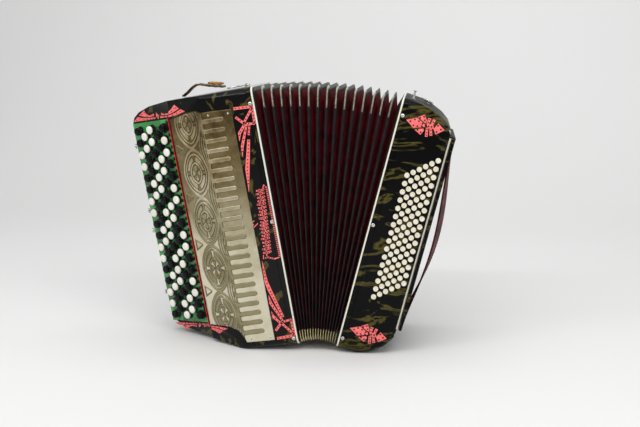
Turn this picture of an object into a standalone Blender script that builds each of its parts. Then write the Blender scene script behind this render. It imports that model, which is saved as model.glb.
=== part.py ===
"""A chromatic button accordion standing on its closed end with its bellows fanned open.

Five rows of treble buttons sit on a stepped board at the left, six rows of bass buttons on the
right-hand case. +Z is up, +X points to the bass side and -Y to the front. Metres.
"""
import math

import bmesh
import bpy
from mathutils import Vector

MM = 0.001

# Driving dimensions
HEIGHT = 424 * MM
DEPTH = 186 * MM
GAP = 0.3 * MM
WALL = 5 * MM
EDGE_ROUND = 13 * MM
HALF_FOLDED = 29 * MM
BASE_LIFT = 6.2 * MM
BASS_DROP = 8 * MM
BELLOWS_SAG = 5 * MM
FOLDS = 16
FOLD_DEPTH = 24 * MM
FOLD_SKIN = 6 * MM
LEAN = {"treble": math.radians(-10.04), "bass": math.radians(14.24), "middle": 0.0}
PIVOT = Vector((55.15 * MM, -92.25 * MM, 10.45 * MM))

STRIP = 3 * MM
FRAME_END = 11 * MM
FRAME_WIDTH = 14 * MM
CASE_START = FRAME_END + GAP

# Treble keyboard
TREBLE_ROWS = 5
TREBLE_PITCH = 20 * MM
TREBLE_FIRST = 381.4 * MM
ROW_SPACING = 15.4 * MM
BOARD_SLOPE = math.radians(31.9)
BOARD_NORMAL = Vector((math.sin(BOARD_SLOPE), math.cos(BOARD_SLOPE)))
BOARD_ALONG = Vector((math.cos(BOARD_SLOPE), -math.sin(BOARD_SLOPE)))
BOARD_OUTWARD = Vector((-BOARD_NORMAL.x, -BOARD_NORMAL.y, 0))
ROW_5_FOOT = Vector((164.2 * MM, -52.4 * MM))
BOARD_THICK = 4 * MM
BUTTON_RADIUS = 6.8 * MM
STEM_RADIUS = 2.4 * MM
RAIL_THICK = 3 * MM
AXLE = Vector((84 * MM, -100 * MM))
AXLE_RADIUS = 2 * MM
TREBLE_SOUNDBOARD = (44 * MM, 48 * MM)

# Bass side
BASS_ROWS = 6
BASS_COLUMNS = 16
BASS_PITCH = 13.5 * MM
BASS_ROW_SPACING = 8.1 * MM
BASS_ROW_RISE = 6.85 * MM
BASS_FIRST = (37.4 * MM, 302.4 * MM)
BASS_BUTTON_RADIUS = 4.2 * MM
BASS_RAIL_THICK = 2.5 * MM
WELL_HALF = 4.6 * MM
BASS_END = 90 * MM
BASS_BOARD = (14 * MM, 18 * MM)
AIR_BUTTON = (80 * MM, 364 * MM)

SIDES = {"treble": -1, "bass": 1}
SHARES = {"treble": 0.0, "bass": 1.0}
STEP_HEIGHT = 0.6 * MM
SLOT_HALF = 3.2 * MM
PALLET_FRONTS = {1: -28 * MM, 2: -42 * MM, 3: -56 * MM, 4: -70 * MM, 5: -86.5 * MM}
ARM_SHIFTS = {1: -4 * MM, 2: -2.5 * MM, 3: 0.0, 4: 2.5 * MM, 5: 4 * MM}
GRILLE_BARS = 23
BAR_PITCH = 15.85 * MM
ROSETTES = 5
ROSETTE_PITCH = 79.5 * MM
STRAP_FOOT = 97 * MM
STRAP_SLACK = 22 * MM
CORNER_LEG_UP = 20 * MM
CORNER_LEG_DEPTH = 12 * MM
CORNER_LIFT = 1.2 * MM
CORNER_SKIN = 0.7 * MM
CORNER_VALLEY = 3 * MM


def clear_scene():
    """Remove what a new file starts with."""
    for thing in list(bpy.data.objects):
        bpy.data.objects.remove(thing, do_unlink=True)


def material(name, colour, roughness, metallic=0.0):
    """Return the named finish, made the first time that it is asked for."""
    if name in bpy.data.materials:
        return bpy.data.materials[name]
    made = bpy.data.materials.new(name)
    made.use_nodes = True
    shader = made.node_tree.nodes["Principled BSDF"]
    shader.inputs["Base Color"].default_value = (*colour, 1.0)
    shader.inputs["Roughness"].default_value = roughness
    shader.inputs["Metallic"].default_value = metallic
    return made


def finish(kind):
    """Return one of the instrument's finishes by its plain name."""
    finishes = {
        "black_celluloid": ((0.012, 0.012, 0.011), 0.12, 0.0),
        "white_celluloid": ((0.80, 0.78, 0.70), 0.25, 0.0),
        "green_celluloid": ((0.02, 0.20, 0.06), 0.2, 0.0),
        "nickel": ((0.42, 0.39, 0.34), 0.35, 1.0),
        "chrome": ((0.75, 0.75, 0.76), 0.15, 1.0),
        "pearl": ((0.85, 0.84, 0.80), 0.2, 0.0),
        "bellows_cloth": ((0.02, 0.02, 0.022), 0.85, 0.0),
        "brass": ((0.55, 0.42, 0.18), 0.35, 1.0),
        "wood": ((0.38, 0.22, 0.10), 0.6, 0.0),
        "zinc": ((0.5, 0.5, 0.5), 0.45, 1.0),
        "red_leather": ((0.13, 0.01, 0.012), 0.5, 0.0),
        "brown_leather": ((0.10, 0.06, 0.03), 0.6, 0.0),
    }
    return material(kind, *finishes[kind])


def side_frame(side):
    """Add the empty that a half hangs from: it turns about the bottom of the bellows."""
    frame = bpy.data.objects.new(side + "_side", None)
    frame.location = PIVOT
    frame.rotation_euler = (0, LEAN[side], 0)
    bpy.context.scene.collection.objects.link(frame)
    return frame


def make(name, bm, kind, side, pivot=(0, 0, 0), smooth=False):
    """Turn a bmesh drawn in a half's own frame into a named object whose origin is at pivot."""
    bmesh.ops.recalc_face_normals(bm, faces=bm.faces)
    bmesh.ops.translate(bm, verts=bm.verts, vec=-Vector(pivot))
    mesh = bpy.data.meshes.new(name)
    bm.to_mesh(mesh)
    bm.free()
    made = bpy.data.objects.new(name, mesh)
    made.location = pivot
    made.parent = FRAMES[side]
    made.data.materials.append(finish(kind))
    bpy.context.scene.collection.objects.link(made)
    if smooth:
        mesh.shade_smooth()
        mesh.set_sharp_from_angle(angle=math.radians(35))
    return made


def combine(target, cutter_mesh, operation):
    """Join or cut the target with a bmesh drawn in the same frame, and keep the result."""
    cutter = make("cutter", cutter_mesh, "wood", "treble")
    cutter.parent = target.parent
    step = target.modifiers.new("shape", "BOOLEAN")
    step.operation = operation
    step.solver = "EXACT"
    step.object = cutter
    graph = bpy.context.evaluated_depsgraph_get()
    shaped = bpy.data.meshes.new_from_object(target.evaluated_get(graph))
    target.modifiers.clear()
    target.data = shaped
    bpy.data.objects.remove(cutter, do_unlink=True)
    return target


def place(side, out, front, up):
    """Turn (outward, towards the front, up) into a half's own X, Y and Z."""
    return Vector((SIDES[side] * (HALF_FOLDED + out), -front, up + BASE_LIFT))


def add_prism(bm, side, points, axis, low, high):
    """Extrude an outline: axis 'front' takes (out, up) points, 'up' (out, front), 'out' (front, up)."""
    loops = []
    for level in (low, high):
        if axis == "front":
            corners = [place(side, a, level, b) for a, b in points]
        elif axis == "up":
            corners = [place(side, a, b, level) for a, b in points]
        else:
            corners = [place(side, level, a, b) for a, b in points]
        loops.append([bm.verts.new(corner) for corner in corners])
    count = len(points)
    sides = []
    for i in range(count):
        j = (i + 1) % count
        sides.append(bm.faces.new((loops[0][i], loops[0][j], loops[1][j], loops[1][i])))
    caps = [bm.faces.new(loops[0]), bm.faces.new(loops[1])]
    return sides + caps


def prism(side, points, axis, low, high):
    """Return a bmesh that holds one extruded outline."""
    bm = bmesh.new()
    add_prism(bm, side, points, axis, low, high)
    return bm


def inset(points, distance):
    """Move every edge of an outline inwards by a distance."""
    area = sum(a[0] * b[1] - b[0] * a[1] for a, b in zip(points, points[1:] + points[:1]))
    turn = 1 if area > 0 else -1
    moved = []
    for i, here in enumerate(points):
        back = (Vector(here) - Vector(points[i - 1])).normalized()
        ahead = (Vector(points[(i + 1) % len(points)]) - Vector(here)).normalized()
        normal_back = Vector((-back.y, back.x)) * turn
        normal_ahead = Vector((-ahead.y, ahead.x)) * turn
        middle = normal_back + normal_ahead
        moved.append(tuple(Vector(here) + middle * (2 * distance / middle.length_squared)))
    return moved


def rounded_box(low, high, radius, steps=2):
    """Return the outline of a rectangle with round corners."""
    points = []
    for a, b, start in ((1, 1, 0), (0, 1, 90), (0, 0, 180), (1, 0, 270)):
        centre_a = high[0] - radius if a else low[0] + radius
        centre_b = high[1] - radius if b else low[1] + radius
        for step in range(steps + 1):
            angle = math.radians(start + 90 * step / steps)
            points.append((centre_a + radius * math.cos(angle), centre_b + radius * math.sin(angle)))
    return points


def top_level(share):
    """Return the height of the top: the bass end is lower, and the folds sag between the ends."""
    return HEIGHT - BASS_DROP * share - BELLOWS_SAG * math.sin(math.pi * share)


def mouth(share, margin=0.0, steps=2):
    """Return the round-cornered (front, up) outline at one place between the two cases."""
    low = (margin - DEPTH, margin)
    high = (-margin, top_level(share) - margin)
    return rounded_box(low, high, EDGE_ROUND - 0.3 * margin, steps)


def add_lathe(bm, base, axis, profile, steps):
    """Turn a profile of (radius, height) pairs about an axis through base, with closed ends."""
    axis = Vector(axis).normalized()
    across = axis.orthogonal().normalized()
    beside = axis.cross(across)
    rings = []
    for radius, height in profile:
        ring = []
        for step in range(steps):
            angle = 2 * math.pi * step / steps
            spoke = across * math.cos(angle) + beside * math.sin(angle)
            ring.append(bm.verts.new(Vector(base) + axis * height + spoke * radius))
        rings.append(ring)
    for lower, upper in zip(rings, rings[1:]):
        for i in range(steps):
            j = (i + 1) % steps
            bm.faces.new((lower[i], lower[j], upper[j], upper[i]))
    bm.faces.new(rings[0])
    bm.faces.new(rings[-1])


def turned(base, axis, profile, steps=12):
    """Return a bmesh with one turned piece."""
    bm = bmesh.new()
    add_lathe(bm, base, axis, profile, steps)
    return bm


def add_ring(bm, side, outer, inner, low, high):
    """Extrude the band between two outlines of equal count along the outward axis."""
    layers = [[bm.verts.new(place(side, level, *p)) for p in line]
              for line, level in ((outer, low), (outer, high), (inner, high), (inner, low))]
    count = len(outer)
    for first, second in zip(layers, layers[1:] + layers[:1]):
        for i in range(count):
            j = (i + 1) % count
            bm.faces.new((first[i], first[j], second[j], second[i]))


# ---------------------------------------------------------------- bellows ends


def make_bellows_ends(side):
    """Make the white edge strip and the wooden frame that close one end of the bellows."""
    outer = mouth(SHARES[side])
    inner = mouth(SHARES[side], FRAME_WIDTH)
    strip = bmesh.new()
    add_ring(strip, side, outer, inner, GAP, STRIP)
    make(side + "_edge_strip", strip, "white_celluloid", side)
    frame = bmesh.new()
    add_ring(frame, side, outer, inner, STRIP + GAP, FRAME_END)
    make(side + "_bellows_frame", frame, "black_celluloid", side)


def make_frame_pins(side, heights):
    """Make the round-headed pins that hold the case on its bellows frame."""
    for number, height in enumerate(heights, 1):
        base = place(side, FRAME_END / 2 + STRIP / 2, GAP, height)
        pin = turned(base, (0, -1, 0), [(3.2 * MM, 0), (3.2 * MM, 0.8 * MM), (1.6 * MM, 2.2 * MM)], 10)
        make(f"{side}_frame_pin_{number}", pin, "chrome", side, base, smooth=True)


# ---------------------------------------------------------------- treble case

CASE_SECTION = [
    (CASE_START, 0), (85 * MM, 0), (150 * MM, -40 * MM), (150 * MM, -49 * MM),
    (225.7 * MM, -96.2 * MM), (230.5 * MM, -99 * MM), (231.5 * MM, -104 * MM),
    (227 * MM, -111 * MM), (222 * MM, -113 * MM), (116 * MM, -113 * MM),
    (106 * MM, -121 * MM), (102 * MM, -DEPTH), (CASE_START, -DEPTH),
]
CASE_OUTLINE = [
    (CASE_START, 0), (80 * MM, 2.6 * MM), (100 * MM, 7.5 * MM), (118 * MM, 13 * MM),
    (144 * MM, 19.5 * MM), (186 * MM, 29 * MM), (212 * MM, 37 * MM), (226 * MM, 48 * MM),
    (232 * MM, 64 * MM), (232 * MM, 394 * MM), (226 * MM, 405 * MM), (214 * MM, 413 * MM),
    (190 * MM, 420 * MM), (150 * MM, HEIGHT), (CASE_START, HEIGHT),
]
SOUND_OPENING = [
    (50 * MM, 20 * MM), (50 * MM, -20 * MM), (96 * MM, -52 * MM), (144 * MM, -46 * MM),
    (144 * MM, 20 * MM),
]


def rounded_body(side, outline):
    """Extrude a case outline through its depth and round its front and rear edges."""
    bm = prism(side, outline, "front", 0, -DEPTH)
    edges = []
    for edge in bm.edges:
        same_depth = abs(edge.verts[0].co.y - edge.verts[1].co.y) < 1e-6
        at_mouth = all(abs(abs(v.co.x) - HALF_FOLDED - CASE_START) < 1e-6 for v in edge.verts)
        if same_depth and not at_mouth:
            edges.append(edge)
    bmesh.ops.bevel(bm, geom=edges, offset=EDGE_ROUND, segments=3, profile=0.5, affect="EDGES")
    return bm


def hollow(case, side, section, outline):
    """Empty a case to its wall thickness, and open the side that faces the bellows."""
    room = make("room", prism(side, inset(section, WALL), "up", -0.1, 0.6), "wood", side)
    combine(room, prism(side, inset(outline, WALL), "front", 0.1, -0.3), "INTERSECT")
    inside = bmesh.new()
    inside.from_mesh(room.data)
    bpy.data.objects.remove(room, do_unlink=True)
    combine(case, inside, "DIFFERENCE")
    lip = WALL + 1 * MM
    opening = rounded_box((lip - DEPTH, lip), (-lip, top_level(SHARES[side]) - lip), EDGE_ROUND - WALL)
    combine(case, prism(side, opening, "out", 0, CASE_START + 7 * MM), "DIFFERENCE")


def make_treble_case():
    """Make the treble case: main box, sloping front and keyboard neck in one wooden shell."""
    case = make("treble_case", rounded_body("treble", CASE_OUTLINE), "black_celluloid", "treble")
    combine(case, prism("treble", CASE_SECTION, "up", -0.1, 0.6), "INTERSECT")
    hollow(case, "treble", CASE_SECTION, CASE_OUTLINE)
    combine(case, prism("treble", SOUND_OPENING, "up", 52 * MM, 386 * MM), "DIFFERENCE")
    well = board_strip(-8.5 * MM, 4 * ROW_SPACING + 8.5 * MM, -10 * MM, 10 * MM)
    combine(case, prism("treble", well, "up", 53 * MM, 391 * MM), "DIFFERENCE")


def make_soundboard(side, span, low, high, slots):
    """Make the board that carries the reed blocks, with rows of slots that the pallets close."""
    outline = rounded_box(low, high, 10 * MM)
    board = make(side + "_soundboard", prism(side, outline, "out", *span), "wood", side)
    holes = bmesh.new()
    for front, heights in slots:
        for height in heights:
            slot = [(front - 3 * MM, height - 14 * MM), (front + 3 * MM, height - 14 * MM),
                    (front + 3 * MM, height + 14 * MM), (front - 3 * MM, height + 14 * MM)]
            add_prism(holes, side, slot, "out", span[0] - 1 * MM, span[1] + 1 * MM)
    combine(board, holes, "DIFFERENCE")


def make_reed_blocks(side, fronts, root, tip, low, high):
    """Make the reed blocks: long wooden bars with a row of open chambers along each."""
    chambers = 9
    pitch = (high - low) / chambers
    for number, front in enumerate(fronts, 1):
        comb = [(root, low), (root, high)]
        for i in reversed(range(chambers)):
            top = low + (i + 1) * pitch
            comb.append((tip, top))
            comb.append((tip, top - 0.3 * pitch))
            if i:
                comb.append((root + 0.25 * (tip - root), top - 0.3 * pitch))
                comb.append((root + 0.25 * (tip - root), top - pitch))
        comb.append((tip, low))
        bm = prism(side, comb, "front", front - 9 * MM, front + 9 * MM)
        make(f"{side}_reed_block_{number}", bm, "wood", side)


# ---------------------------------------------------------------- keyboard


def board_point(along, lift):
    """Return (out, front) of a point along the board from row 5, lifted off the board's face."""
    return ROW_5_FOOT + BOARD_ALONG * along + BOARD_NORMAL * lift


def board_strip(start, end, low, high):
    """Return the section of a strip along the board between two heights off its face."""
    return [board_point(start, low), board_point(end, low),
            board_point(end, high), board_point(start, high)]


def row_position(row):
    """Return how far a treble row lies along the board from row 5."""
    return (TREBLE_ROWS - row) * ROW_SPACING


def row_heights(row):
    """Return the height of every button in a treble row: 17 in odd rows, 16 in even ones."""
    shift = 0.5 if row % 2 == 0 else 0.0
    count = 16 if row % 2 == 0 else 17
    return [TREBLE_FIRST - (number + shift) * TREBLE_PITCH for number in range(count)]


def make_fingerboard():
    """Make the stepped board that the treble buttons stand through."""
    section = [board_point(-13 * MM, -BOARD_THICK), board_point(4 * ROW_SPACING + 12 * MM, -BOARD_THICK)]
    for i in reversed(range(TREBLE_ROWS)):
        lift = STEP_HEIGHT * (TREBLE_ROWS - i)
        start = (i - 0.5) * ROW_SPACING if i else -13 * MM
        end = (i + 0.5) * ROW_SPACING if i < TREBLE_ROWS - 1 else 4 * ROW_SPACING + 12 * MM
        section.append(board_point(end, lift - 3 * STEP_HEIGHT))
        section.append(board_point(start, lift - 3 * STEP_HEIGHT))
    board = make("fingerboard", prism("treble", section, "up", 48 * MM, 395 * MM),
                 "green_celluloid", "treble")
    slots = bmesh.new()
    for row in range(1, TREBLE_ROWS + 1):
        along, heights = row_position(row), row_heights(row)
        slot = board_strip(along - SLOT_HALF, along + SLOT_HALF, -9 * MM, 9 * MM)
        add_prism(slots, "treble", slot, "up", heights[-1] - SLOT_HALF, heights[0] + SLOT_HALF)
    combine(board, slots, "DIFFERENCE")


def make_treble_buttons():
    """Make each row of treble buttons: round caps on stems that stand on one hidden rail."""
    rail_top = -BOARD_THICK - 1 * MM
    cap_foot = 5.5 * MM - rail_top + 1.5 * MM
    profile = [(STEM_RADIUS, 0), (STEM_RADIUS, cap_foot), (BUTTON_RADIUS, cap_foot),
               (BUTTON_RADIUS - 0.6 * MM, cap_foot + 4 * MM)]
    for row in range(1, TREBLE_ROWS + 1):
        along = row_position(row)
        heights = row_heights(row)
        section = board_strip(along - 4 * MM, along + 4 * MM, rail_top - RAIL_THICK, rail_top)
        rail = prism("treble", section, "up", heights[-1] - 5 * MM, heights[0] + 5 * MM)
        caps = bmesh.new()
        out, front = board_point(along, rail_top - 1.5 * MM)
        for height in heights:
            add_lathe(caps, place("treble", out, front, height), BOARD_OUTWARD, profile, 8)
        name = f"treble_buttons_row_{row}"
        buttons = combine(make(name, rail, "pearl", "treble"), caps, "UNION")
        middle = 0.5 * (heights[0] + heights[-1])
        set_origin(buttons, place("treble", *board_point(along, rail_top), middle))


def set_origin(thing, origin):
    """Move an object's origin without moving its mesh."""
    for vertex in thing.data.vertices:
        vertex.co -= origin
    thing.location = origin


def lever_arm(row):
    """Return the (out, front) outline of one bent arm, from under its button to its pallet."""
    foot = board_point(row_position(row), -BOARD_THICK - 1.3 * MM - RAIL_THICK)
    pallet_front = PALLET_FRONTS[row]
    root = TREBLE_SOUNDBOARD[1] + 4 * MM
    return [
        foot - BOARD_ALONG * 2.5 * MM, AXLE + Vector((4 * MM, 8.5 * MM)),
        Vector((root + 11 * MM, pallet_front + 2 * MM)), Vector((root, pallet_front + 2 * MM)),
        Vector((root, pallet_front - 2 * MM)), Vector((root + 6 * MM, pallet_front - 2 * MM)),
        AXLE + Vector((-2 * MM, 4.5 * MM)), foot + BOARD_ALONG * 2.5 * MM,
    ]


def make_treble_levers():
    """Make the levers of each row: arms on one axle, joined by the bar that carries the pallets."""
    for row in range(1, TREBLE_ROWS + 1):
        heights = row_heights(row)
        front = PALLET_FRONTS[row]
        bar = [(TREBLE_SOUNDBOARD[1] + GAP, front - 5.5 * MM),
               (TREBLE_SOUNDBOARD[1] + GAP, front + 5.5 * MM),
               (TREBLE_SOUNDBOARD[1] + 6 * MM, front + 5.5 * MM),
               (TREBLE_SOUNDBOARD[1] + 6 * MM, front - 5.5 * MM)]
        bm = prism("treble", bar, "up", heights[-1] - 9 * MM, heights[0] + 9 * MM)
        arms = bmesh.new()
        shift = ARM_SHIFTS[row]
        for height in heights:
            middle = height + shift
            add_prism(arms, "treble", lever_arm(row), "up", middle - 1 * MM, middle + 1 * MM)
        levers = combine(make(f"treble_levers_row_{row}", bm, "zinc", "treble"), arms, "UNION")
        set_origin(levers, place("treble", AXLE.x, AXLE.y, HEIGHT / 2))


def make_lever_axle():
    """Make the steel rod that every treble lever turns on."""
    bm = turned(place("treble", AXLE.x, AXLE.y, 26 * MM), (0, 0, 1),
                [(AXLE_RADIUS, 0), (AXLE_RADIUS, 372 * MM)], 8)
    make("treble_lever_axle", bm, "zinc", "treble", smooth=True)


def make_edge_studs():
    """Make the round studs on the keyboard's outer edge."""
    for number, height in enumerate((356.6, 243.8, 208.9, 98.1), 1):
        base = place("treble", 231.8 * MM, -104 * MM, height * MM)
        stud = turned(base, (-1, 0, 0), [(2.2 * MM, 0), (2.2 * MM, 2 * MM), (4.2 * MM, 2.6 * MM),
                                         (4.2 * MM, 4.6 * MM), (2.4 * MM, 5.6 * MM)], 10)
        make(f"keyboard_edge_stud_{number}", stud, "chrome", "treble", base, smooth=True)


# ---------------------------------------------------------------- grille


def ellipse(centre, radii, steps):
    """Return the points of an ellipse."""
    return [(centre[0] + radii[0] * math.cos(2 * math.pi * i / steps),
             centre[1] + radii[1] * math.sin(2 * math.pi * i / steps)) for i in range(steps)]


def slope_front(out):
    """Return how far the sloping front lies behind the flat front at a distance outwards."""
    start, end = CASE_SECTION[1], CASE_SECTION[2]
    return min(0.0, (out - start[0]) / (end[0] - start[0]) * end[1])


def make_grille():
    """Make the pressed metal grille: a sheet bent at the crease, with raised bars and rosettes."""
    back = [(37 * MM, GAP), (85.1 * MM, GAP), (149.5 * MM, slope_front(149.5 * MM) + GAP * 1.3)]
    face = [(150.2 * MM, slope_front(149.5 * MM) + 1.9 * MM), (87 * MM, 0.6 * MM),
            (84 * MM, 1.6 * MM), (37 * MM, 1.6 * MM)]
    outline = [(38 * MM, 15 * MM), (84 * MM, 17 * MM), (88 * MM, 27 * MM), (96 * MM, 37 * MM),
               (113 * MM, 43 * MM), (151 * MM, 45.5 * MM), (151 * MM, 393 * MM),
               (116 * MM, 401 * MM), (98 * MM, 402 * MM), (87 * MM, 397 * MM), (38 * MM, 395 * MM)]
    grille = make("treble_grille", prism("treble", back + face, "up", 0, HEIGHT), "nickel", "treble")
    combine(grille, prism("treble", outline, "front", 0.05, -0.1), "INTERSECT")
    relief = bmesh.new()
    for number in range(GRILLE_BARS):
        height = 382 * MM - number * BAR_PITCH
        add_bar(relief, height)
    combine(grille, relief, "UNION")
    for number in range(ROSETTES):
        add_rosette(grille, (116 * MM, 382 * MM - number * ROSETTE_PITCH))


def add_bar(bm, height):
    """Add one raised bar: it starts at the crease and ends in a half round towards the bellows."""
    half = 2.6 * MM
    bar = [(84 * MM, height - half), (84 * MM, height + half), (56 * MM, height + half),
           (54 * MM, height), (56 * MM, height - half)]
    add_prism(bm, "treble", bar, "front", 1 * MM, 2.8 * MM)


def add_rosette(grille, centre):
    """Raise the oval middle of a rosette on the sloping part of the grille."""
    boss = bmesh.new()
    lower = ellipse(centre, (9 * MM, 13 * MM), 12)
    upper = ellipse(centre, (6 * MM, 9 * MM), 12)
    rings = [[boss.verts.new(place("treble", a, slope_front(a) + lift, b)) for a, b in ring]
             for ring, lift in ((lower, 0.9 * MM), (upper, 3.4 * MM))]
    for i in range(12):
        j = (i + 1) % 12
        boss.faces.new((rings[0][i], rings[0][j], rings[1][j], rings[1][i]))
    boss.faces.new(rings[0])
    boss.faces.new(rings[1])
    bmesh.ops.recalc_face_normals(boss, faces=boss.faces)
    combine(grille, boss, "UNION")


# ---------------------------------------------------------------- treble fittings


def make_treble_fittings():
    """Make the feet, the shoulder strap's end and the bellows hook."""
    for number, front in enumerate((-52 * MM, -100 * MM), 1):
        base = place("treble", 128 * MM, front, 13.9 * MM)
        foot = turned(base, (0, 0, -1), [(5 * MM, 0), (5 * MM, 1.5 * MM), (3.6 * MM, 2.3 * MM)], 12)
        make(f"treble_foot_{number}", foot, "chrome", "treble", base, smooth=True)
    middle = [(62, 430.5), (70, 432), (80, 434.4), (90, 437), (100, 440.3), (110, 440.3), (118, 436),
              (126, 430.4), (133, 426.8)]
    strap = ribbon([(a * MM, b * MM) for a, b in middle], 3.4 * MM)
    make("shoulder_strap", prism("treble", strap, "front", -105 * MM, -81 * MM), "brown_leather",
         "treble")
    buckle = bmesh.new()
    outer = [(64, 436.8), (86, 442.4), (86.4, 439.2), (64.4, 433.8)]
    add_prism(buckle, "treble", [(a * MM, b * MM) for a, b in outer], "front", -107 * MM, -79 * MM)
    make("strap_buckle", buckle, "brass", "treble")
    pivot = place("treble", 14 * MM, -40 * MM, HEIGHT + GAP)
    base = turned(pivot, (0, 0, 1), [(4.5 * MM, 0), (4.5 * MM, 1 * MM), (2 * MM, 1.2 * MM),
                                     (2 * MM, 5 * MM)], 10)
    make("bellows_hook_post", base, "chrome", "treble", pivot, smooth=True)
    make_hook()


def make_hook():
    """Make the swinging hook that holds the closed bellows, turned away from the bass side."""
    outline = [(10.5, -43), (10.5, -37), (14, -35), (34, -37.5), (42, -34), (47, -37), (46, -44),
               (42, -45.5), (42.5, -42.5), (44.4, -41), (44, -38), (41, -37.5), (34, -41.5), (14, -45)]
    points = [(a * MM, b * MM) for a, b in outline]
    hook = make("bellows_hook", prism("treble", points, "up", HEIGHT + 2.2 * MM, HEIGHT + 4.2 * MM),
                "chrome", "treble")
    hole = turned(place("treble", 14 * MM, -40 * MM, HEIGHT), (0, 0, 1),
                  [(2.4 * MM, 0), (2.4 * MM, 9 * MM)], 10)
    combine(hook, hole, "DIFFERENCE")
    set_origin(hook, place("treble", 14 * MM, -40 * MM, HEIGHT + 3 * MM))


def ribbon(middle, thickness):
    """Return the closed outline of a band of even thickness about a line of points."""
    upper, lower = [], []
    for i, here in enumerate(middle):
        before = middle[max(i - 1, 0)]
        after = middle[min(i + 1, len(middle) - 1)]
        along = (Vector(after) - Vector(before)).normalized()
        across = Vector((-along.y, along.x)) * thickness / 2
        upper.append(tuple(Vector(here) + across))
        lower.append(tuple(Vector(here) - across))
    return upper + lower[::-1]


# ---------------------------------------------------------------- bass case

BASS_OUTLINE = [
    (CASE_START, 0), (30 * MM, -1.6 * MM), (45 * MM, 2.2 * MM), (60 * MM, 9 * MM),
    (74 * MM, 20 * MM), (84 * MM, 34 * MM), (BASS_END, 50 * MM), (BASS_END, 378 * MM),
    (82 * MM, 391 * MM), (69 * MM, 400.5 * MM), (49 * MM, 409 * MM), (30 * MM, 414 * MM),
    (CASE_START, HEIGHT - BASS_DROP),
]
BASS_SECTION = [(CASE_START, 0), (BASS_END + 3 * WALL, 0), (BASS_END + 3 * WALL, -DEPTH),
                (CASE_START, -DEPTH)]


def bass_button_places():
    """Yield (row, out, up) of every bass button: each outer row starts a little higher."""
    for row in range(BASS_ROWS):
        for column in range(BASS_COLUMNS):
            out = BASS_FIRST[0] + row * BASS_ROW_SPACING
            up = BASS_FIRST[1] + row * BASS_ROW_RISE - column * BASS_PITCH
            yield row, out, up


def make_bass_case():
    """Make the bass case: a shell with round ends, drilled for the buttons, open at its outer side."""
    case = make("bass_case", rounded_body("bass", BASS_OUTLINE), "black_celluloid", "bass")
    hollow(case, "bass", BASS_SECTION, BASS_OUTLINE[:6] + [
        (BASS_END + WALL + 9 * MM, 40 * MM), (BASS_END + WALL + 9 * MM, 388 * MM)] + BASS_OUTLINE[8:])
    wells = bmesh.new()
    for column in range(BASS_COLUMNS):
        add_prism(wells, "bass", button_well(column), "front", 10 * MM, -WALL - 4 * MM)
    base = place("bass", AIR_BUTTON[0], -WALL - 2 * MM, AIR_BUTTON[1])
    add_lathe(wells, base, (0, -1, 0), [(4.2 * MM, 0), (4.2 * MM, 12 * MM)], 8)
    combine(case, wells, "DIFFERENCE")


def button_well(column):
    """Return the (out, up) outline of the slanted well that one column of six buttons moves in."""
    start = Vector((BASS_FIRST[0], BASS_FIRST[1] - column * BASS_PITCH))
    along = Vector((BASS_ROW_SPACING, BASS_ROW_RISE)).normalized()
    across = Vector((-along.y, along.x)) * WELL_HALF
    end = start + Vector((BASS_ROW_SPACING, BASS_ROW_RISE)) * (BASS_ROWS - 1)
    start = start - along * WELL_HALF
    end = end + along * WELL_HALF
    return [start - across, end - across, end + across, start + across]


def make_bass_end_plate():
    """Make the flat plate that closes the bass case and carries the hand strap."""
    outline = rounded_box((4 * MM - DEPTH, 52 * MM), (-4 * MM, 376 * MM), 10 * MM)
    make("bass_end_plate", prism("bass", outline, "out", BASS_END + GAP, BASS_END + WALL),
         "black_celluloid", "bass")


def make_bass_buttons():
    """Make each row of bass buttons: short pistons that stand on one hidden rail."""
    for row in range(BASS_ROWS):
        spots = [(out, up) for r, out, up in bass_button_places() if r == row]
        out = spots[0][0]
        low, high = spots[-1][1], spots[0][1]
        rail_back = -WALL - 1 * MM - BASS_RAIL_THICK
        section = [(out - 3 * MM, rail_back), (out + 3 * MM, rail_back),
                   (out + 3 * MM, -WALL - 1 * MM), (out - 3 * MM, -WALL - 1 * MM)]
        rail = prism("bass", section, "up", low - 4.5 * MM, high + 4.5 * MM)
        caps = bmesh.new()
        piston = 3.4 * MM - rail_back - 1 * MM
        profile = [(BASS_BUTTON_RADIUS, 0), (BASS_BUTTON_RADIUS, piston)]
        for spot in spots:
            add_lathe(caps, place("bass", out, rail_back + 1 * MM, spot[1]), (0, -1, 0), profile, 6)
        name = f"bass_buttons_row_{row + 1}"
        buttons = combine(make(name, rail, "pearl", "bass"), caps, "UNION")
        set_origin(buttons, place("bass", out, -WALL, 0.5 * (low + high)))


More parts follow.
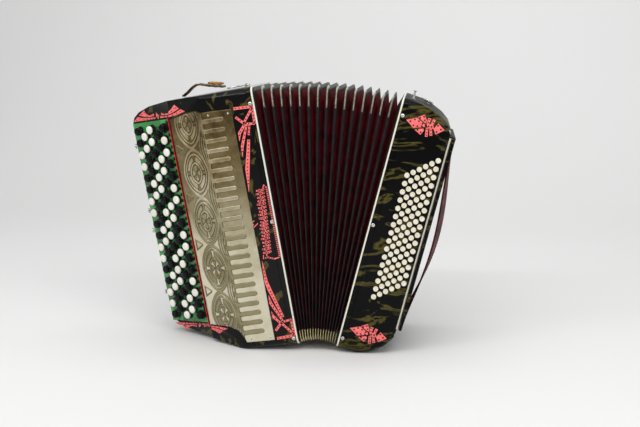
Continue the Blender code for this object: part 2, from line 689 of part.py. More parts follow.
def make_bass_mechanism():
    """Make the bass pallets and the rack of shafts between them and the buttons."""
    for number, pivot_front in enumerate((-100 * MM, -150 * MM), 1):
        front = pivot_front + 24 * MM
        comb = [(BASS_BOARD[1] + GAP, front - 6 * MM), (BASS_BOARD[1] + GAP, front + 6 * MM),
                (BASS_BOARD[1] + 6 * MM, front + 6 * MM), (BASS_BOARD[1] + 6 * MM, front - 6 * MM)]
        bm = prism("bass", comb, "up", 56 * MM, 366 * MM)
        arms = bmesh.new()
        for i in range(12):
            height = 70 * MM + i * 25 * MM
            arm = [(BASS_BOARD[1] + 4 * MM, front - 4 * MM), (BASS_BOARD[1] + 4 * MM, front + 4 * MM),
                   (BASS_BOARD[1] + 12 * MM, front + 4 * MM), (BASS_BOARD[1] + 14 * MM, pivot_front),
                   (BASS_BOARD[1] + 10 * MM, pivot_front - 4 * MM)]
            add_prism(arms, "bass", arm, "up", height - 1.5 * MM, height + 1.5 * MM)
        pallets = combine(make(f"bass_pallets_{number}", bm, "zinc", "bass"), arms, "UNION")
        set_origin(pallets, place("bass", BASS_BOARD[1] + 12 * MM, pivot_front, HEIGHT / 2))
    rack = [(36 * MM, 76 * MM), (36 * MM, 84 * MM), (80 * MM, 84 * MM), (80 * MM, 340 * MM),
            (36 * MM, 340 * MM), (36 * MM, 348 * MM), (84 * MM, 348 * MM), (84 * MM, 76 * MM)]
    bm = prism("bass", rack, "front", -60 * MM, -56 * MM)
    rods = bmesh.new()
    for i in range(12):
        height = 92 * MM + i * 21 * MM
        rod = [(40 * MM, height), (82 * MM, height), (82 * MM, height + 3 * MM), (40 * MM, height + 3 * MM)]
        add_prism(rods, "bass", rod, "front", -60 * MM, -57 * MM)
    combine(make("bass_shaft_rack", bm, "zinc", "bass"), rods, "UNION")


def strap_line():
    """Return the slack curve of the hand strap, from its upper to its lower fixing."""
    points = []
    steps = 16
    for i in range(steps + 1):
        t = i / steps
        sag = math.sin(math.pi * t ** 1.15) ** 1.25
        points.append((STRAP_FOOT + STRAP_SLACK * sag, 370 * MM - t * 318 * MM))
    return points


def make_bass_fittings():
    """Make the hand strap, its adjusting wheel, the air button and the hook's stud."""
    strap = ribbon(strap_line(), 3 * MM)
    make("bass_hand_strap", prism("bass", strap, "front", -128 * MM, -56 * MM), "red_leather", "bass")
    base = place("bass", 40.6 * MM, -93 * MM, 411.3 * MM)
    axis = Vector((0.254, 0, 0.967))
    wheel = turned(base + axis * 0.5 * MM, axis,
                   [(2.5 * MM, 0), (2.5 * MM, 1.5 * MM), (8 * MM, 1.6 * MM), (8 * MM, 5.4 * MM),
                    (6.5 * MM, 6 * MM)], 14)
    make("strap_thumbwheel", wheel, "chrome", "bass", base, smooth=True)
    base = place("bass", AIR_BUTTON[0], -WALL - 2 * MM, AIR_BUTTON[1])
    air = turned(base, (0, -1, 0), [(3.7 * MM, 0), (3.7 * MM, 9.4 * MM), (2.6 * MM, 10.4 * MM)], 10)
    make("air_button", air, "pearl", "bass", base, smooth=True)
    base = place("bass", 16 * MM, -40 * MM, HEIGHT - BASS_DROP + 0.1 * MM)
    stud = turned(base, (0, 0, 1), [(3.5 * MM, 0), (3.5 * MM, 0.8 * MM), (1.6 * MM, 1 * MM),
                                    (1.6 * MM, 12 * MM), (3 * MM, 12.4 * MM), (2 * MM, 13.4 * MM)], 10)
    make("bellows_hook_stud", stud, "chrome", "bass", base, smooth=True)


# ---------------------------------------------------------------- bellows


def fan_point(share, front, up):
    """Place a point of the fan: share runs from 0 at the treble end to 1 at the bass end."""
    lean = LEAN["treble"] + share * (LEAN["bass"] - LEAN["treble"])
    across = (2 * share - 1) * HALF_FOLDED
    up = up + BASE_LIFT
    return Vector((across * math.cos(lean) + up * math.sin(lean), -front,
                   up * math.cos(lean) - across * math.sin(lean)))


def folds(valley):
    """Yield (share, inset) of each edge of the bellows: outer edges and valleys by turns."""
    for station in range(2 * FOLDS + 1):
        yield station / (2 * FOLDS), valley if station % 2 else 0.0


def bridge_loops(bm, loops, closed_ring):
    """Skin a row of equal loops; a closed ring joins the last loop to the first."""
    count = len(loops[0])
    pairs = list(zip(loops, loops[1:]))
    if closed_ring:
        pairs.append((loops[-1], loops[0]))
    for first, second in pairs:
        for i in range(count):
            j = (i + 1) % count
            bm.faces.new((first[i], first[j], second[j], second[i]))


def make_bellows():
    """Make the folded walls of the bellows as one open tube."""
    bm = bmesh.new()
    outer = [[bm.verts.new(fan_point(share, *p)) for p in mouth(share, depth, 1)]
             for share, depth in folds(FOLD_DEPTH)]
    inner = [[bm.verts.new(fan_point(share, *p)) for p in mouth(share, depth + FOLD_SKIN, 1)]
             for share, depth in folds(FOLD_DEPTH)]
    bridge_loops(bm, outer + inner[::-1], True)
    make("bellows", bm, "bellows_cloth", "middle")


def corner_path(share, corner, margin):
    """Return the outline of one bellows corner: a short leg along each side of it."""
    fronts = (-margin, margin - DEPTH, margin - DEPTH, -margin)
    top = top_level(share) - margin
    ups = (top, top, margin, margin)
    front, up = fronts[corner], ups[corner]
    inwards = -CORNER_LEG_DEPTH if corner in (0, 3) else CORNER_LEG_DEPTH
    upright = -CORNER_LEG_UP if corner < 2 else CORNER_LEG_UP
    return [(front, up + upright), (front, up), (front + inwards, up)]


def make_corners():
    """Make the pressed metal edging on each of the four corners of the bellows."""
    names = ("front_top", "rear_top", "rear_bottom", "front_bottom")
    for corner, name in enumerate(names):
        bm = bmesh.new()
        loops = []
        for share, depth in folds(CORNER_VALLEY):
            outside = corner_path(share, corner, depth - CORNER_LIFT - CORNER_SKIN)
            inside = corner_path(share, corner, depth - CORNER_LIFT)
            loops.append([bm.verts.new(fan_point(share, *p)) for p in outside + inside[::-1]])
        bridge_loops(bm, loops, False)
        bm.faces.new(loops[0])
        bm.faces.new(loops[-1])
        make("bellows_corners_" + name, bm, "brass", "middle")


# ---------------------------------------------------------------- build

clear_scene()
FRAMES = {side: side_frame(side) for side in LEAN}
for half in SIDES:
    make_bellows_ends(half)
make_frame_pins("treble", (398 * MM, 208 * MM, 13 * MM))
make_frame_pins("bass", (390 * MM, 212 * MM, 19 * MM))
make_treble_case()
make_soundboard("treble", TREBLE_SOUNDBOARD, (-180.5 * MM, 8 * MM), (-5.5 * MM, 418 * MM),
                [(front, [62 * MM + 62 * MM * i for i in range(6)]) for front in PALLET_FRONTS.values()])
make_reed_blocks("treble", (-50 * MM, -84 * MM), 43.6 * MM, 13 * MM, 30 * MM, 392 * MM)
make_fingerboard()
make_treble_buttons()
make_treble_levers()
make_lever_axle()
make_edge_studs()
make_grille()
make_treble_fittings()
make_bass_case()
make_bass_end_plate()
make_soundboard("bass", BASS_BOARD, (-179.5 * MM, 7 * MM), (-6.5 * MM, 409 * MM),
                [(front, [70 * MM + 56 * MM * i for i in range(6)]) for front in (-76 * MM, -126 * MM)])
make_reed_blocks("bass", (-76 * MM, -110 * MM), 13.6 * MM, -24 * MM, 44 * MM, 376 * MM)
make_bass_buttons()
make_bass_mechanism()
make_bass_fittings()
make_bellows()
make_corners()
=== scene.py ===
# %% [markdown]
# # A five-row button accordion with its bellows fanned open
# The instrument is two hollow wooden cases, joined by a folded cloth bellows. The left hand case
# carries a sloping board with 83 treble buttons, and the right hand case has 96 bass buttons.
# A measured frame gives every moving body its place. This lesson adds what the eye sees on top of
# it, piece by piece: celluloid, pressed metal, folded cloth and leather.

# %% Load the measured frame
import math
import random

import bmesh
import bpy
from mathutils import Matrix, Vector


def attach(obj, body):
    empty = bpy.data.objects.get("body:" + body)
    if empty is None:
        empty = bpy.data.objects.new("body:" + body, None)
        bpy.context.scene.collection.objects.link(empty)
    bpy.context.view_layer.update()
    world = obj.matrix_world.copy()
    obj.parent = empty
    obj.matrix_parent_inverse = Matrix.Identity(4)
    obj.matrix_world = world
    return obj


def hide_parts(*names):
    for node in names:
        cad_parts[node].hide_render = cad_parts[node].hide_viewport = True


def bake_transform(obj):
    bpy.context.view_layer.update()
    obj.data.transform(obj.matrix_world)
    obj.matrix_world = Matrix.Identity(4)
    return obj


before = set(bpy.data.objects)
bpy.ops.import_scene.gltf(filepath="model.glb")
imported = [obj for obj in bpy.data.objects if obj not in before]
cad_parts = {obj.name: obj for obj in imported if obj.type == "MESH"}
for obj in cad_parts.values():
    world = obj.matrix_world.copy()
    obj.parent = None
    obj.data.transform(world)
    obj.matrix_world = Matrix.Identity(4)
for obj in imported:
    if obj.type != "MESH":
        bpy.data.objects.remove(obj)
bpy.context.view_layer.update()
scene = bpy.context.scene

# %% [markdown]
# ## Places on a leaning case
# Both cases lean outwards about one line at the foot of the bellows, because only the top is
# open. It is easiest to draw each piece as if its case stood upright, in millimetres: how far out
# from the bellows, how far forward, and how far up. One function then leans the point into place.

# %% Turn upright millimetres into leaning metres
MM = 0.001
PIVOT = Vector((55.15, -92.25, 10.45)) * MM
LEAN = {"treble": math.radians(-10.04), "bass": math.radians(14.24)}
SIDES = {"treble": -1, "bass": 1}
HALF_FOLDED = 29.0
BASE_LIFT = 6.2
HEIGHT = 424.0
DEPTH = 186.0
BASS_DROP = 8.0
BELLOWS_SAG = 5.0


def place(side, out, front, up):
    """Return the leaning place, in metres, of (out, front, up) in upright millimetres."""
    upright = Vector((SIDES[side] * (HALF_FOLDED + out), -front, up + BASE_LIFT)) * MM
    return PIVOT + Matrix.Rotation(LEAN[side], 3, "Y") @ upright


def direction(side, out, front, up):
    """Return a leaning direction, such as which way a button points."""
    return Matrix.Rotation(LEAN[side], 3, "Y") @ Vector((SIDES[side] * out, -front, up)).normalized()


def fan_point(share, front, up):
    """Return a place on the bellows: share runs from 0 at the treble end to 1 at the bass end."""
    lean = LEAN["treble"] + share * (LEAN["bass"] - LEAN["treble"])
    upright = Vector(((2 * share - 1) * HALF_FOLDED, -front, up + BASE_LIFT)) * MM
    return PIVOT + Matrix.Rotation(lean, 3, "Y") @ upright


def top_level(share):
    """Return the height of the top: the bass end is lower, and the folds sag between the ends."""
    return HEIGHT - BASS_DROP * share - BELLOWS_SAG * math.sin(math.pi * share)


print("bass case leans", round(math.degrees(LEAN["bass"]), 1), "degrees")

# %% [markdown]
# ## Camera
# The camera stands a metre and a half in front, a little to the bass side, and looks slightly
# down with a moderate lens, so the sloping button board at the left opens towards it.

# %% Place the camera
camera_data = bpy.data.cameras.new("camera")
camera_data.lens = 52.84
camera_data.sensor_width = 36.0
camera = bpy.data.objects.new("camera", camera_data)
camera.location = (0.2217, -1.5455, 0.4926)
camera.rotation_euler = (math.radians(79.82), 0.0, math.radians(6.37))
scene.collection.objects.link(camera)
scene.camera = camera
print("lens", camera_data.lens, "mm")

# %% [markdown]
# ## One way to write a material
# Every finish below is drawn by nodes on Blender's Principled shader. Colours are written as the
# hex values a paint shop would use, and one function turns them into the linear values that light
# needs. Another adds a node together with its settings and links, and `per_mm` turns the size of
# a real mark, such as a leather grain, into the scale of a pattern.

# %% Colours, nodes and pattern sizes
def colour(text):
    """Turn an sRGB hex value into linear red, green, blue and alpha."""
    parts = [int(text[i:i + 2], 16) / 255 for i in (1, 3, 5)]
    return (*(p / 12.92 if p <= 0.04045 else ((p + 0.055) / 1.055) ** 2.4 for p in parts), 1.0)


def per_mm(size):
    """Return the pattern scale at which one mark is this many millimetres across."""
    return 1000.0 / size


def add(tree, kind, settings=None, links=None):
    """Add one node, set its values, and link its inputs."""
    node = tree.nodes.new(kind)
    for name, value in (settings or {}).items():
        if isinstance(name, int) or name in node.inputs:
            node.inputs[name].default_value = value
        else:
            setattr(node, name, value)
    for name, source in (links or {}).items():
        tree.links.new(source, node.inputs[name])
    return node


def ramp(tree, source, stops):
    """Add a colour ramp through (position, hex) stops, driven by source."""
    node = add(tree, "ShaderNodeValToRGB", links={"Fac": source})
    points = node.color_ramp.elements
    while len(points) < len(stops):
        points.new(0.5)
    for point, (position, text) in zip(points, stops):
        point.position = position
        point.color = colour(text)
    return node.outputs["Color"]


def new_finish(name, roughness, settings):
    """Start a finish, and return its material, node tree, shader and object coordinates."""
    finish = bpy.data.materials.new(name)
    finish.use_nodes = True
    tree = finish.node_tree
    shader = tree.nodes["Principled BSDF"]
    shader.inputs["Roughness"].default_value = roughness
    for socket, value in settings.items():
        shader.inputs[socket].default_value = value
    return finish, tree, shader, add(tree, "ShaderNodeTexCoord").outputs["Object"]


def roughen(tree, shader, source, low, high):
    """Let a pattern vary the roughness between two values."""
    spread = add(tree, "ShaderNodeMapRange", {"To Min": low, "To Max": high}, {"Value": source})
    tree.links.new(spread.outputs["Result"], shader.inputs["Roughness"])


def emboss(tree, shader, source, strength, depth_mm):
    """Let a pattern stand up from the surface by a depth in millimetres."""
    bump = add(tree, "ShaderNodeBump", {"Strength": strength, "Distance": depth_mm * MM},
               {"Height": source})
    tree.links.new(bump.outputs["Normal"], shader.inputs["Normal"])


print("1 mm grain is scale", per_mm(1))

# %% [markdown]
# ## Marbled celluloid
# The cases are birch covered with black celluloid sheet. Celluloid is cast in blocks, and this one
# has smoky olive drifts folded into the black. It is polished like piano lacquer, so the eye gets
# deep black with sharp soft-box reflections and a few rubbed, duller places.

# %% Black celluloid with olive drifts
def marbled_celluloid(name, drift_start, drift_mm, stretch, gloss, dust):
    """Return polished black celluloid; a lower drift_start shows more olive, dust dulls the top."""
    finish, tree, shader, spot = new_finish(
        name, 0.1, {"IOR": 1.5, "Specular IOR Level": gloss})
    squeeze = add(tree, "ShaderNodeMapping", {"Scale": stretch}, {"Vector": spot})
    drift = add(tree, "ShaderNodeTexNoise",
                {"Scale": per_mm(drift_mm), "Detail": 3.0, "Roughness": 0.5, "Distortion": 1.6},
                {"Vector": squeeze.outputs["Vector"]})
    olive = ramp(tree, drift.outputs["Fac"],
                 [(drift_start, "#070707"), (drift_start + 0.012, "#2E2A16"),
                  (drift_start + 0.07, "#544D22"), (drift_start + 0.11, "#0F0D08")])
    tree.links.new(olive, shader.inputs["Base Color"])
    rubbed = add(tree, "ShaderNodeTexNoise", {"Scale": per_mm(9), "Detail": 5.0}, {"Vector": spot})
    facing = add(tree, "ShaderNodeSeparateXYZ",
                 links={"Vector": add(tree, "ShaderNodeNewGeometry").outputs["Normal"]})
    settled = add(tree, "ShaderNodeMapRange", {"From Min": 0.4, "From Max": 0.85, "To Max": dust},
                  {"Value": facing.outputs["Z"]})
    worn = add(tree, "ShaderNodeMath", {"operation": "ADD"},
               {0: settled.outputs["Result"], 1: rubbed.outputs["Fac"]})
    spread = add(tree, "ShaderNodeMapRange", {"From Max": 2.0, "To Min": 0.02, "To Max": 0.5},
                 {"Value": worn.outputs[0]})
    tree.links.new(spread.outputs["Result"], shader.inputs["Roughness"])
    emboss(tree, shader, rubbed.outputs["Fac"], 0.05, 0.3)
    return finish


case_celluloid = marbled_celluloid("black_olive_celluloid", 0.575, 44, (1.3, 1.0, 1.0), 0.2, 0.0)
bass_celluloid = marbled_celluloid("black_olive_celluloid_bass", 0.54, 46, (0.55, 1.0, 1.7), 0.1, 1.7)
print("celluloid finishes:", case_celluloid.name, bass_celluloid.name)

# %% [markdown]
# ## Plain cast plastics
# The edge strips are ivory-grained celluloid, which has fine parallel lines like a tusk's. The
# bows are coral celluloid with black pips. The buttons are turned from casein, a milk plastic that
# takes a china-like polish and yellows a little. Gilt lacquer, the tan binding and the red line
# share the same recipe: a tint that drifts between two close colours and a faint ripple in the
# gloss.

# %% Ivory, coral, casein, lacquer and binding
def cast_plastic(name, light, dark, roughness, mark_mm, stretch=(1, 1, 1), gloss=0.5):
    """Return a glossy plastic whose tint drifts between two close colours."""
    finish, tree, shader, spot = new_finish(
        name, roughness, {"IOR": 1.52, "Specular IOR Level": gloss})
    along = add(tree, "ShaderNodeMapping", {"Scale": stretch}, {"Vector": spot})
    cloud = add(tree, "ShaderNodeTexNoise", {"Scale": per_mm(mark_mm), "Detail": 4.0},
                {"Vector": along.outputs["Vector"]})
    tint = ramp(tree, cloud.outputs["Fac"], [(0.35, dark), (0.65, light)])
    tree.links.new(tint, shader.inputs["Base Color"])
    roughen(tree, shader, cloud.outputs["Fac"], roughness * 0.7, roughness * 1.5)
    emboss(tree, shader, cloud.outputs["Fac"], 0.05, 0.2)
    return finish


ivory_celluloid = cast_plastic("grained_ivory_celluloid", "#F4F2E6", "#DAD5C0", 0.22, 3, (8, 8, 0.4))
coral_celluloid = cast_plastic("coral_celluloid", "#FF7F7B", "#F0686A", 0.35, 5, gloss=0.25)
white_casein = cast_plastic("white_casein_buttons", "#F5F4EC", "#E9E6D8", 0.12, 14)
cream_casein = cast_plastic("cream_casein_bass_buttons", "#EFE9D6", "#DDD4BA", 0.16, 6)
black_casein = cast_plastic("black_casein_buttons", "#0A0B0D", "#050506", 0.12, 14, gloss=0.13)
black_pips = cast_plastic("black_pips", "#120A0B", "#070404", 0.4, 3, gloss=0.2)
gilt_lacquer = cast_plastic("gilt_lacquered_corner", "#FFF4C8", "#E2D096", 0.4, 3)
red_line_celluloid = cast_plastic("red_line_celluloid", "#C8201E", "#A81517", 0.25, 12)
tan_line_leather = cast_plastic("tan_line_leathercloth", "#9A7442", "#6E4F2A", 0.55, 4)
print("plastics ready")

# %% [markdown]
# ## Green pearl board
# The stepped button board is covered with pearloid: celluloid with fish-scale flakes, stirred
# into broad soft cells that flash light and dark. Cells of about 13 mm, each with its own tint and
# polish, give the silky blocks that the eye gets between the buttons.

# %% Green pearloid
PEARL_CELL = 13
green_pearloid, tree, shader, spot = new_finish(
    "green_pearloid", 0.22, {"IOR": 1.5, "Coat Weight": 0.5, "Coat Roughness": 0.08})
warp = add(tree, "ShaderNodeTexNoise", {"Scale": per_mm(20), "Detail": 2.0}, {"Vector": spot})
pushed = add(tree, "ShaderNodeMix", {"data_type": "VECTOR", 0: 0.012},
             {4: spot, 5: warp.outputs["Color"]})
cells = add(tree, "ShaderNodeTexVoronoi", {"Scale": per_mm(PEARL_CELL)}, {"Vector": pushed.outputs[1]})
flash = add(tree, "ShaderNodeSeparateColor", links={"Color": cells.outputs["Color"]})
green = ramp(tree, flash.outputs["Red"],
             [(0.0, "#0B4214"), (0.4, "#187026"), (0.75, "#238A34"), (1.0, "#3BA64C")])
tree.links.new(green, shader.inputs["Base Color"])
roughen(tree, shader, flash.outputs["Green"], 0.12, 0.35)
print("pearl cells", PEARL_CELL, "mm")

# %% [markdown]
# ## Pressed nickel silver
# The grille is one pressed sheet, nickel plated long ago, with clouds of brown tarnish that grow darker
# towards the top. In its upper part the tops of the raised lines are painted white as a highlight, and
# a dark band of painted shade runs along their sides. In the lower part it is the other way round: the
# ground is bright and the raised lines are darker, again outlined with painted shade. The height of the
# pressing, stored with the mesh as `relief`, tells the material which is which.

# %% Tarnished nickel, with painted highlights and painted shade on the relief
TARNISH_CLOUD = 38
nickel, tree, shader, spot = new_finish("tarnished_nickel_plate", 0.35, {"Metallic": 1.0})
relief = add(tree, "ShaderNodeAttribute", {"attribute_name": "relief"})
height = add(tree, "ShaderNodeSeparateXYZ", links={"Vector": spot})
worn_top = add(tree, "ShaderNodeMapRange", {"From Min": 0.10, "From Max": 0.42},
               {"Value": height.outputs["Z"]})
clouds = add(tree, "ShaderNodeTexNoise",
             {"Scale": per_mm(TARNISH_CLOUD), "Detail": 6.0, "Roughness": 0.65}, {"Vector": spot})
patch = add(tree, "ShaderNodeMath", {"operation": "MULTIPLY_ADD", 1: 0.75, 2: -0.28},
            {0: worn_top.outputs["Result"]})
aged = add(tree, "ShaderNodeMath", {"operation": "ADD"},
           {0: patch.outputs[0], 1: clouds.outputs["Fac"]})
metal = ramp(tree, aged.outputs[0],
             [(0.2, "#E9E4D2"), (0.5, "#CFC6AC"), (0.78, "#A89874"), (0.98, "#6E6048")])
# Upper part: white on the tops of the raised lines is a painted highlight, and the dark band on their sides
# is painted shade.
upper_painted_highlight_shade = ramp(tree, relief.outputs["Fac"],
              [(0.0, "#B4AC96"), (0.10, "#857D66"), (0.35, "#2E2818"), (0.62, "#C9C3B0"), (0.85, "#FFFFFF")])
# Lower part: a bright ground and darker raised lines, with a dark band of painted shade along their edges.
lower_painted_edge_shade = ramp(tree, relief.outputs["Fac"],
             [(0.0, "#F4F2E8"), (0.2, "#5E563E"), (0.42, "#3C3522"), (0.7, "#958D6C"), (0.95, "#A39B7A")])
lower = add(tree, "ShaderNodeMapRange", {"From Min": 0.27, "From Max": 0.17},
            {"Value": height.outputs["Z"]})
# Blend of the two painted relief shadings, the upper one above and the lower one below.
wear_and_painted_light = add(tree, "ShaderNodeMix", {"data_type": "RGBA"},
           {0: lower.outputs["Result"], 6: upper_painted_highlight_shade, 7: lower_painted_edge_shade})
both = add(tree, "ShaderNodeMix", {"data_type": "RGBA", "blend_type": "MULTIPLY", 0: 0.9},
           {6: metal, 7: wear_and_painted_light.outputs[2]})
tree.links.new(both.outputs[2], shader.inputs["Base Color"])
grain = add(tree, "ShaderNodeTexNoise", {"Scale": per_mm(1.2), "Detail": 4.0}, {"Vector": spot})
roughen(tree, shader, grain.outputs["Fac"], 0.3, 0.52)
emboss(tree, shader, grain.outputs["Fac"], 0.12, 0.2)
print("tarnish clouds", TARNISH_CLOUD, "mm")

# %% [markdown]
# ## Small metal parts
# Pins and studs are chromed steel, the buckle is old brass, the upper bellows corners are tinned,
# and the hidden levers are zinc plated. The lower bellows corners are gilt lacquer, which is among
# the plastics above. A metal takes its colour from its base colour, and handling shows as clouded
# roughness.

# %% Chrome, brass, tin and zinc
def plated_metal(name, bright, dull, smoothest, roughest, cloud_mm):
    """Return a handled metal: two close colours and a clouded polish."""
    finish, tree, shader, spot = new_finish(name, smoothest, {"Metallic": 1.0})
    cloud = add(tree, "ShaderNodeTexNoise", {"Scale": per_mm(cloud_mm), "Detail": 5.0},
                {"Vector": spot})
    tint = ramp(tree, cloud.outputs["Fac"], [(0.3, dull), (0.65, bright)])
    tree.links.new(tint, shader.inputs["Base Color"])
    roughen(tree, shader, cloud.outputs["Fac"], smoothest, roughest)
    emboss(tree, shader, cloud.outputs["Fac"], 0.08, 0.15)
    return finish


chrome = plated_metal("chromed_steel", "#D8D8D6", "#A9A7A0", 0.08, 0.28, 4)
old_brass = plated_metal("old_brass_buckle", "#BE9040", "#6B4A1C", 0.3, 0.55, 3)
tinned = plated_metal("tinned_corner", "#F7F3E6", "#CFC8B4", 0.3, 0.6, 3)
zinc = plated_metal("zinc_plated_steel", "#A9ACB0", "#7E8084", 0.3, 0.55, 6)
print("metals ready")

# %% [markdown]
# ## Cloth, leather and bare wood
# The folds are card, covered in black leathercloth on the ridges and lined with dark red paper in
# the valleys. The straps are hide: a pebbled grain about 1.5 mm across, darker where sweat and
# rubbing have polished the edges. Inside, the reed blocks are plain spruce with long fibres.

# %% Leathercloth, hide and spruce
def grained_hide(name, light, dark, roughness, grain_mm, cloud_mm, sheen=0.0, gloss=0.3):
    """Return leather or leathercloth with pebbles of a real size and slow clouds of wear."""
    finish, tree, shader, spot = new_finish(
        name, roughness, {"IOR": 1.46, "Specular IOR Level": gloss, "Sheen Weight": sheen})
    wear_and_painted_light = add(tree, "ShaderNodeTexNoise", {"Scale": per_mm(cloud_mm), "Detail": 6.0},
               {"Vector": spot})
    tint = ramp(tree, wear_and_painted_light.outputs["Fac"], [(0.35, dark), (0.68, light)])
    tree.links.new(tint, shader.inputs["Base Color"])
    pebbles = add(tree, "ShaderNodeTexVoronoi", {"Scale": per_mm(grain_mm)}, {"Vector": spot})
    roughen(tree, shader, wear_and_painted_light.outputs["Fac"], roughness * 1.25, roughness * 0.7)
    emboss(tree, shader, pebbles.outputs["Distance"], 0.35, 0.25)
    return finish


ridge_cloth = grained_hide("black_leathercloth", "#1C1C20", "#08080A", 0.42, 0.9, 14, 0.05)
wall_card = grained_hide("black_card", "#151316", "#0A090B", 0.6, 1.6, 25)
valley_paper = grained_hide("dark_red_paper", "#7E1420", "#47090F", 0.7, 1.2, 18)
red_hide = grained_hide("dark_red_hide", "#5E0E14", "#360609", 0.55, 1.5, 22, gloss=0.06)
brown_hide = grained_hide("cracked_brown_hide", "#7A5A33", "#2E1E10", 0.5, 1.8, 7)
dark_edge_hide = grained_hide("burnished_strap_edge", "#4A0C11", "#2A0609", 0.55, 1.4, 12, gloss=0.06)
linen_thread = grained_hide("waxed_linen_thread", "#8C5A4A", "#5B3028", 0.6, 0.8, 5)

spruce, tree, shader, spot = new_finish("planed_spruce", 0.6, {"IOR": 1.45})
fibre = add(tree, "ShaderNodeMapping", {"Scale": (1.0, 1.0, 0.05)}, {"Vector": spot})
year_rings = add(tree, "ShaderNodeTexNoise", {"Scale": per_mm(2), "Detail": 4.0},
                 {"Vector": fibre.outputs["Vector"]})
wood = ramp(tree, year_rings.outputs["Fac"], [(0.3, "#A87F4C"), (0.7, "#D6B27A")])
tree.links.new(wood, shader.inputs["Base Color"])
emboss(tree, shader, year_rings.outputs["Fac"], 0.2, 0.2)
print("finishes in all:", len(bpy.data.materials))

# %% [markdown]
# ## From a drawn mesh to a piece that rides
# Each piece is drawn as a bmesh, which is Blender's editable mesh in memory. One function turns it
# into an object, shades it round except at true corners, and lets it ride on the body that carries
# it. `stands_for` names the plain measured solids that the piece replaces.

# %% Helpers that turn drawings into pieces
def make_piece(name, bm, finishes, body, stands_for=(), sharp=40.0, bevel=0.0):
    """Make an object from a bmesh, give it its finishes, and let it ride on a body."""
    mesh = bpy.data.meshes.new(name)
    bmesh.ops.recalc_face_normals(bm, faces=bm.faces)
    bm.to_mesh(mesh)
    bm.free()
    for finish in finishes:
        mesh.materials.append(finish)
    mesh.shade_smooth()
    mesh.set_sharp_from_angle(angle=math.radians(sharp))
    piece = bpy.data.objects.new(name, mesh)
    scene.collection.objects.link(piece)
    if bevel:
        edge = piece.modifiers.new("worn_edges", "BEVEL")
        edge.width = bevel * MM
        edge.segments = 2
        edge.limit_method = "ANGLE"
        edge.angle_limit = math.radians(40)
        edge.harden_normals = True
    if body:
        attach(piece, body)
    if stands_for:
        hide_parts(*stands_for)
    return piece


def skin(bm, loops, closed=True, finish=0, capped=False):
    """Skin a row of equal loops of points with quads, and close both ends if capped."""
    rows = [[bm.verts.new(point) for point in loop] for loop in loops]
    for first, second in zip(rows, rows[1:]):
        count = len(first)
        for i in range(count if closed else count - 1):
            j = (i + 1) % count
            bm.faces.new((first[i], first[j], second[j], second[i])).material_index = finish
    if capped:
        for ring in (rows[0], rows[-1]):
            bm.faces.new(ring).material_index = finish


def lathe(bm, base, axis, profile, steps=24, finish=0, open_ends=False):
    """Turn a profile of (radius, height) in millimetres about an axis, and close its ends."""
    axis = Vector(axis).normalized()
    across = axis.orthogonal().normalized()
    beside = axis.cross(across)
    spokes = [across * math.cos(2 * math.pi * i / steps) + beside * math.sin(2 * math.pi * i / steps)
              for i in range(steps)]
    skin(bm, [[base + (axis * height + spoke * radius) * MM for spoke in spokes]
              for radius, height in profile], True, finish, not open_ends)


def turned_piece(name, finish, body, node, base, axis, profile, steps=20):
    """Turn one profile into a piece of its own that replaces a measured node."""
    bm = bmesh.new()
    lathe(bm, base, axis, profile, steps)
    make_piece(name, bm, [finish], body, [node], sharp=50)


def rounded_outline(share, margin, steps):
    """Return the (front, up) outline at a place between the cases, inset by a margin."""
    radius = max(13.0 - 0.3 * margin, 3.0)
    low, high = (margin - DEPTH, margin), (-margin, top_level(share) - margin)
    points = []
    for a, b, start in ((1, 1, 0), (0, 1, 90), (0, 0, 180), (1, 0, 270)):
        front = high[0] - radius if a else low[0] + radius
        up = high[1] - radius if b else low[1] + radius
        for step in range(steps + 1):
            angle = math.radians(start + 90 * step / steps)
            points.append((front + radius * math.cos(angle), up + radius * math.sin(angle)))
    return points


def drill(target, cutter):
    """Cut a piece with another mesh, keep the result, and remove the cutter."""
    step = target.modifiers.new("cut", "BOOLEAN")
    step.operation = "DIFFERENCE"
    step.solver = "EXACT"
    step.object = cutter
    graph = bpy.context.evaluated_depsgraph_get()
    target.data = bpy.data.meshes.new_from_object(target.evaluated_get(graph))
    target.modifiers.remove(step)
    bpy.data.objects.remove(cutter, do_unlink=True)


def loose_mesh(bm):
    """Make a bare object from a bmesh, for use as a cutter."""
    bmesh.ops.recalc_face_normals(bm, faces=bm.faces)
    mesh = bpy.data.meshes.new("cutter")
    bm.to_mesh(mesh)
    bm.free()
    thing = bpy.data.objects.new("cutter", mesh)
    scene.collection.objects.link(thing)
    return thing


print("helpers ready")

# %% [markdown]
# ## The two cases
# The measured shells already have the right openings and round ends, in a few flat facets. A copy
# of each is cleaned, then shaded round across its facets while the flat faces stay flat, which is
# how the lacquered real one carries long soft reflections over its shoulders.

# %% Polished copies of the two shells
CASE_FINISH = {"treble": case_celluloid, "bass": bass_celluloid}


def polished_shell(side):
    """Copy a measured shell into a new piece with smooth shoulders and flat faces."""
    bm = bmesh.new()
    bm.from_mesh(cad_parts[side + "_case"].data)
    bmesh.ops.remove_doubles(bm, verts=bm.verts, dist=0.005 * MM)
    bmesh.ops.dissolve_limit(bm, angle_limit=math.radians(0.5), verts=bm.verts, edges=bm.edges)
    shell = make_piece(side + "_shell", bm, [CASE_FINISH[side]], side + "_half",
                       [side + "_case"], sharp=32)
    flat = shell.modifiers.new("flat_faces", "WEIGHTED_NORMAL")
    flat.keep_sharp = True
    flat.weight = 80
    print(shell.name, "has", len(shell.data.polygons), "faces")


for side in SIDES:
    polished_shell(side)

# %% [markdown]
# ## Edge strips and bellows frames
# Where the bellows meet a case there is an ivory strip, then a black wooden frame behind it. Both
# are flat rings with round corners, so each is one skinned ring with a tiny worn bevel.

# %% Ring-shaped strips and frames
STRIP_WIDTH = 14.0


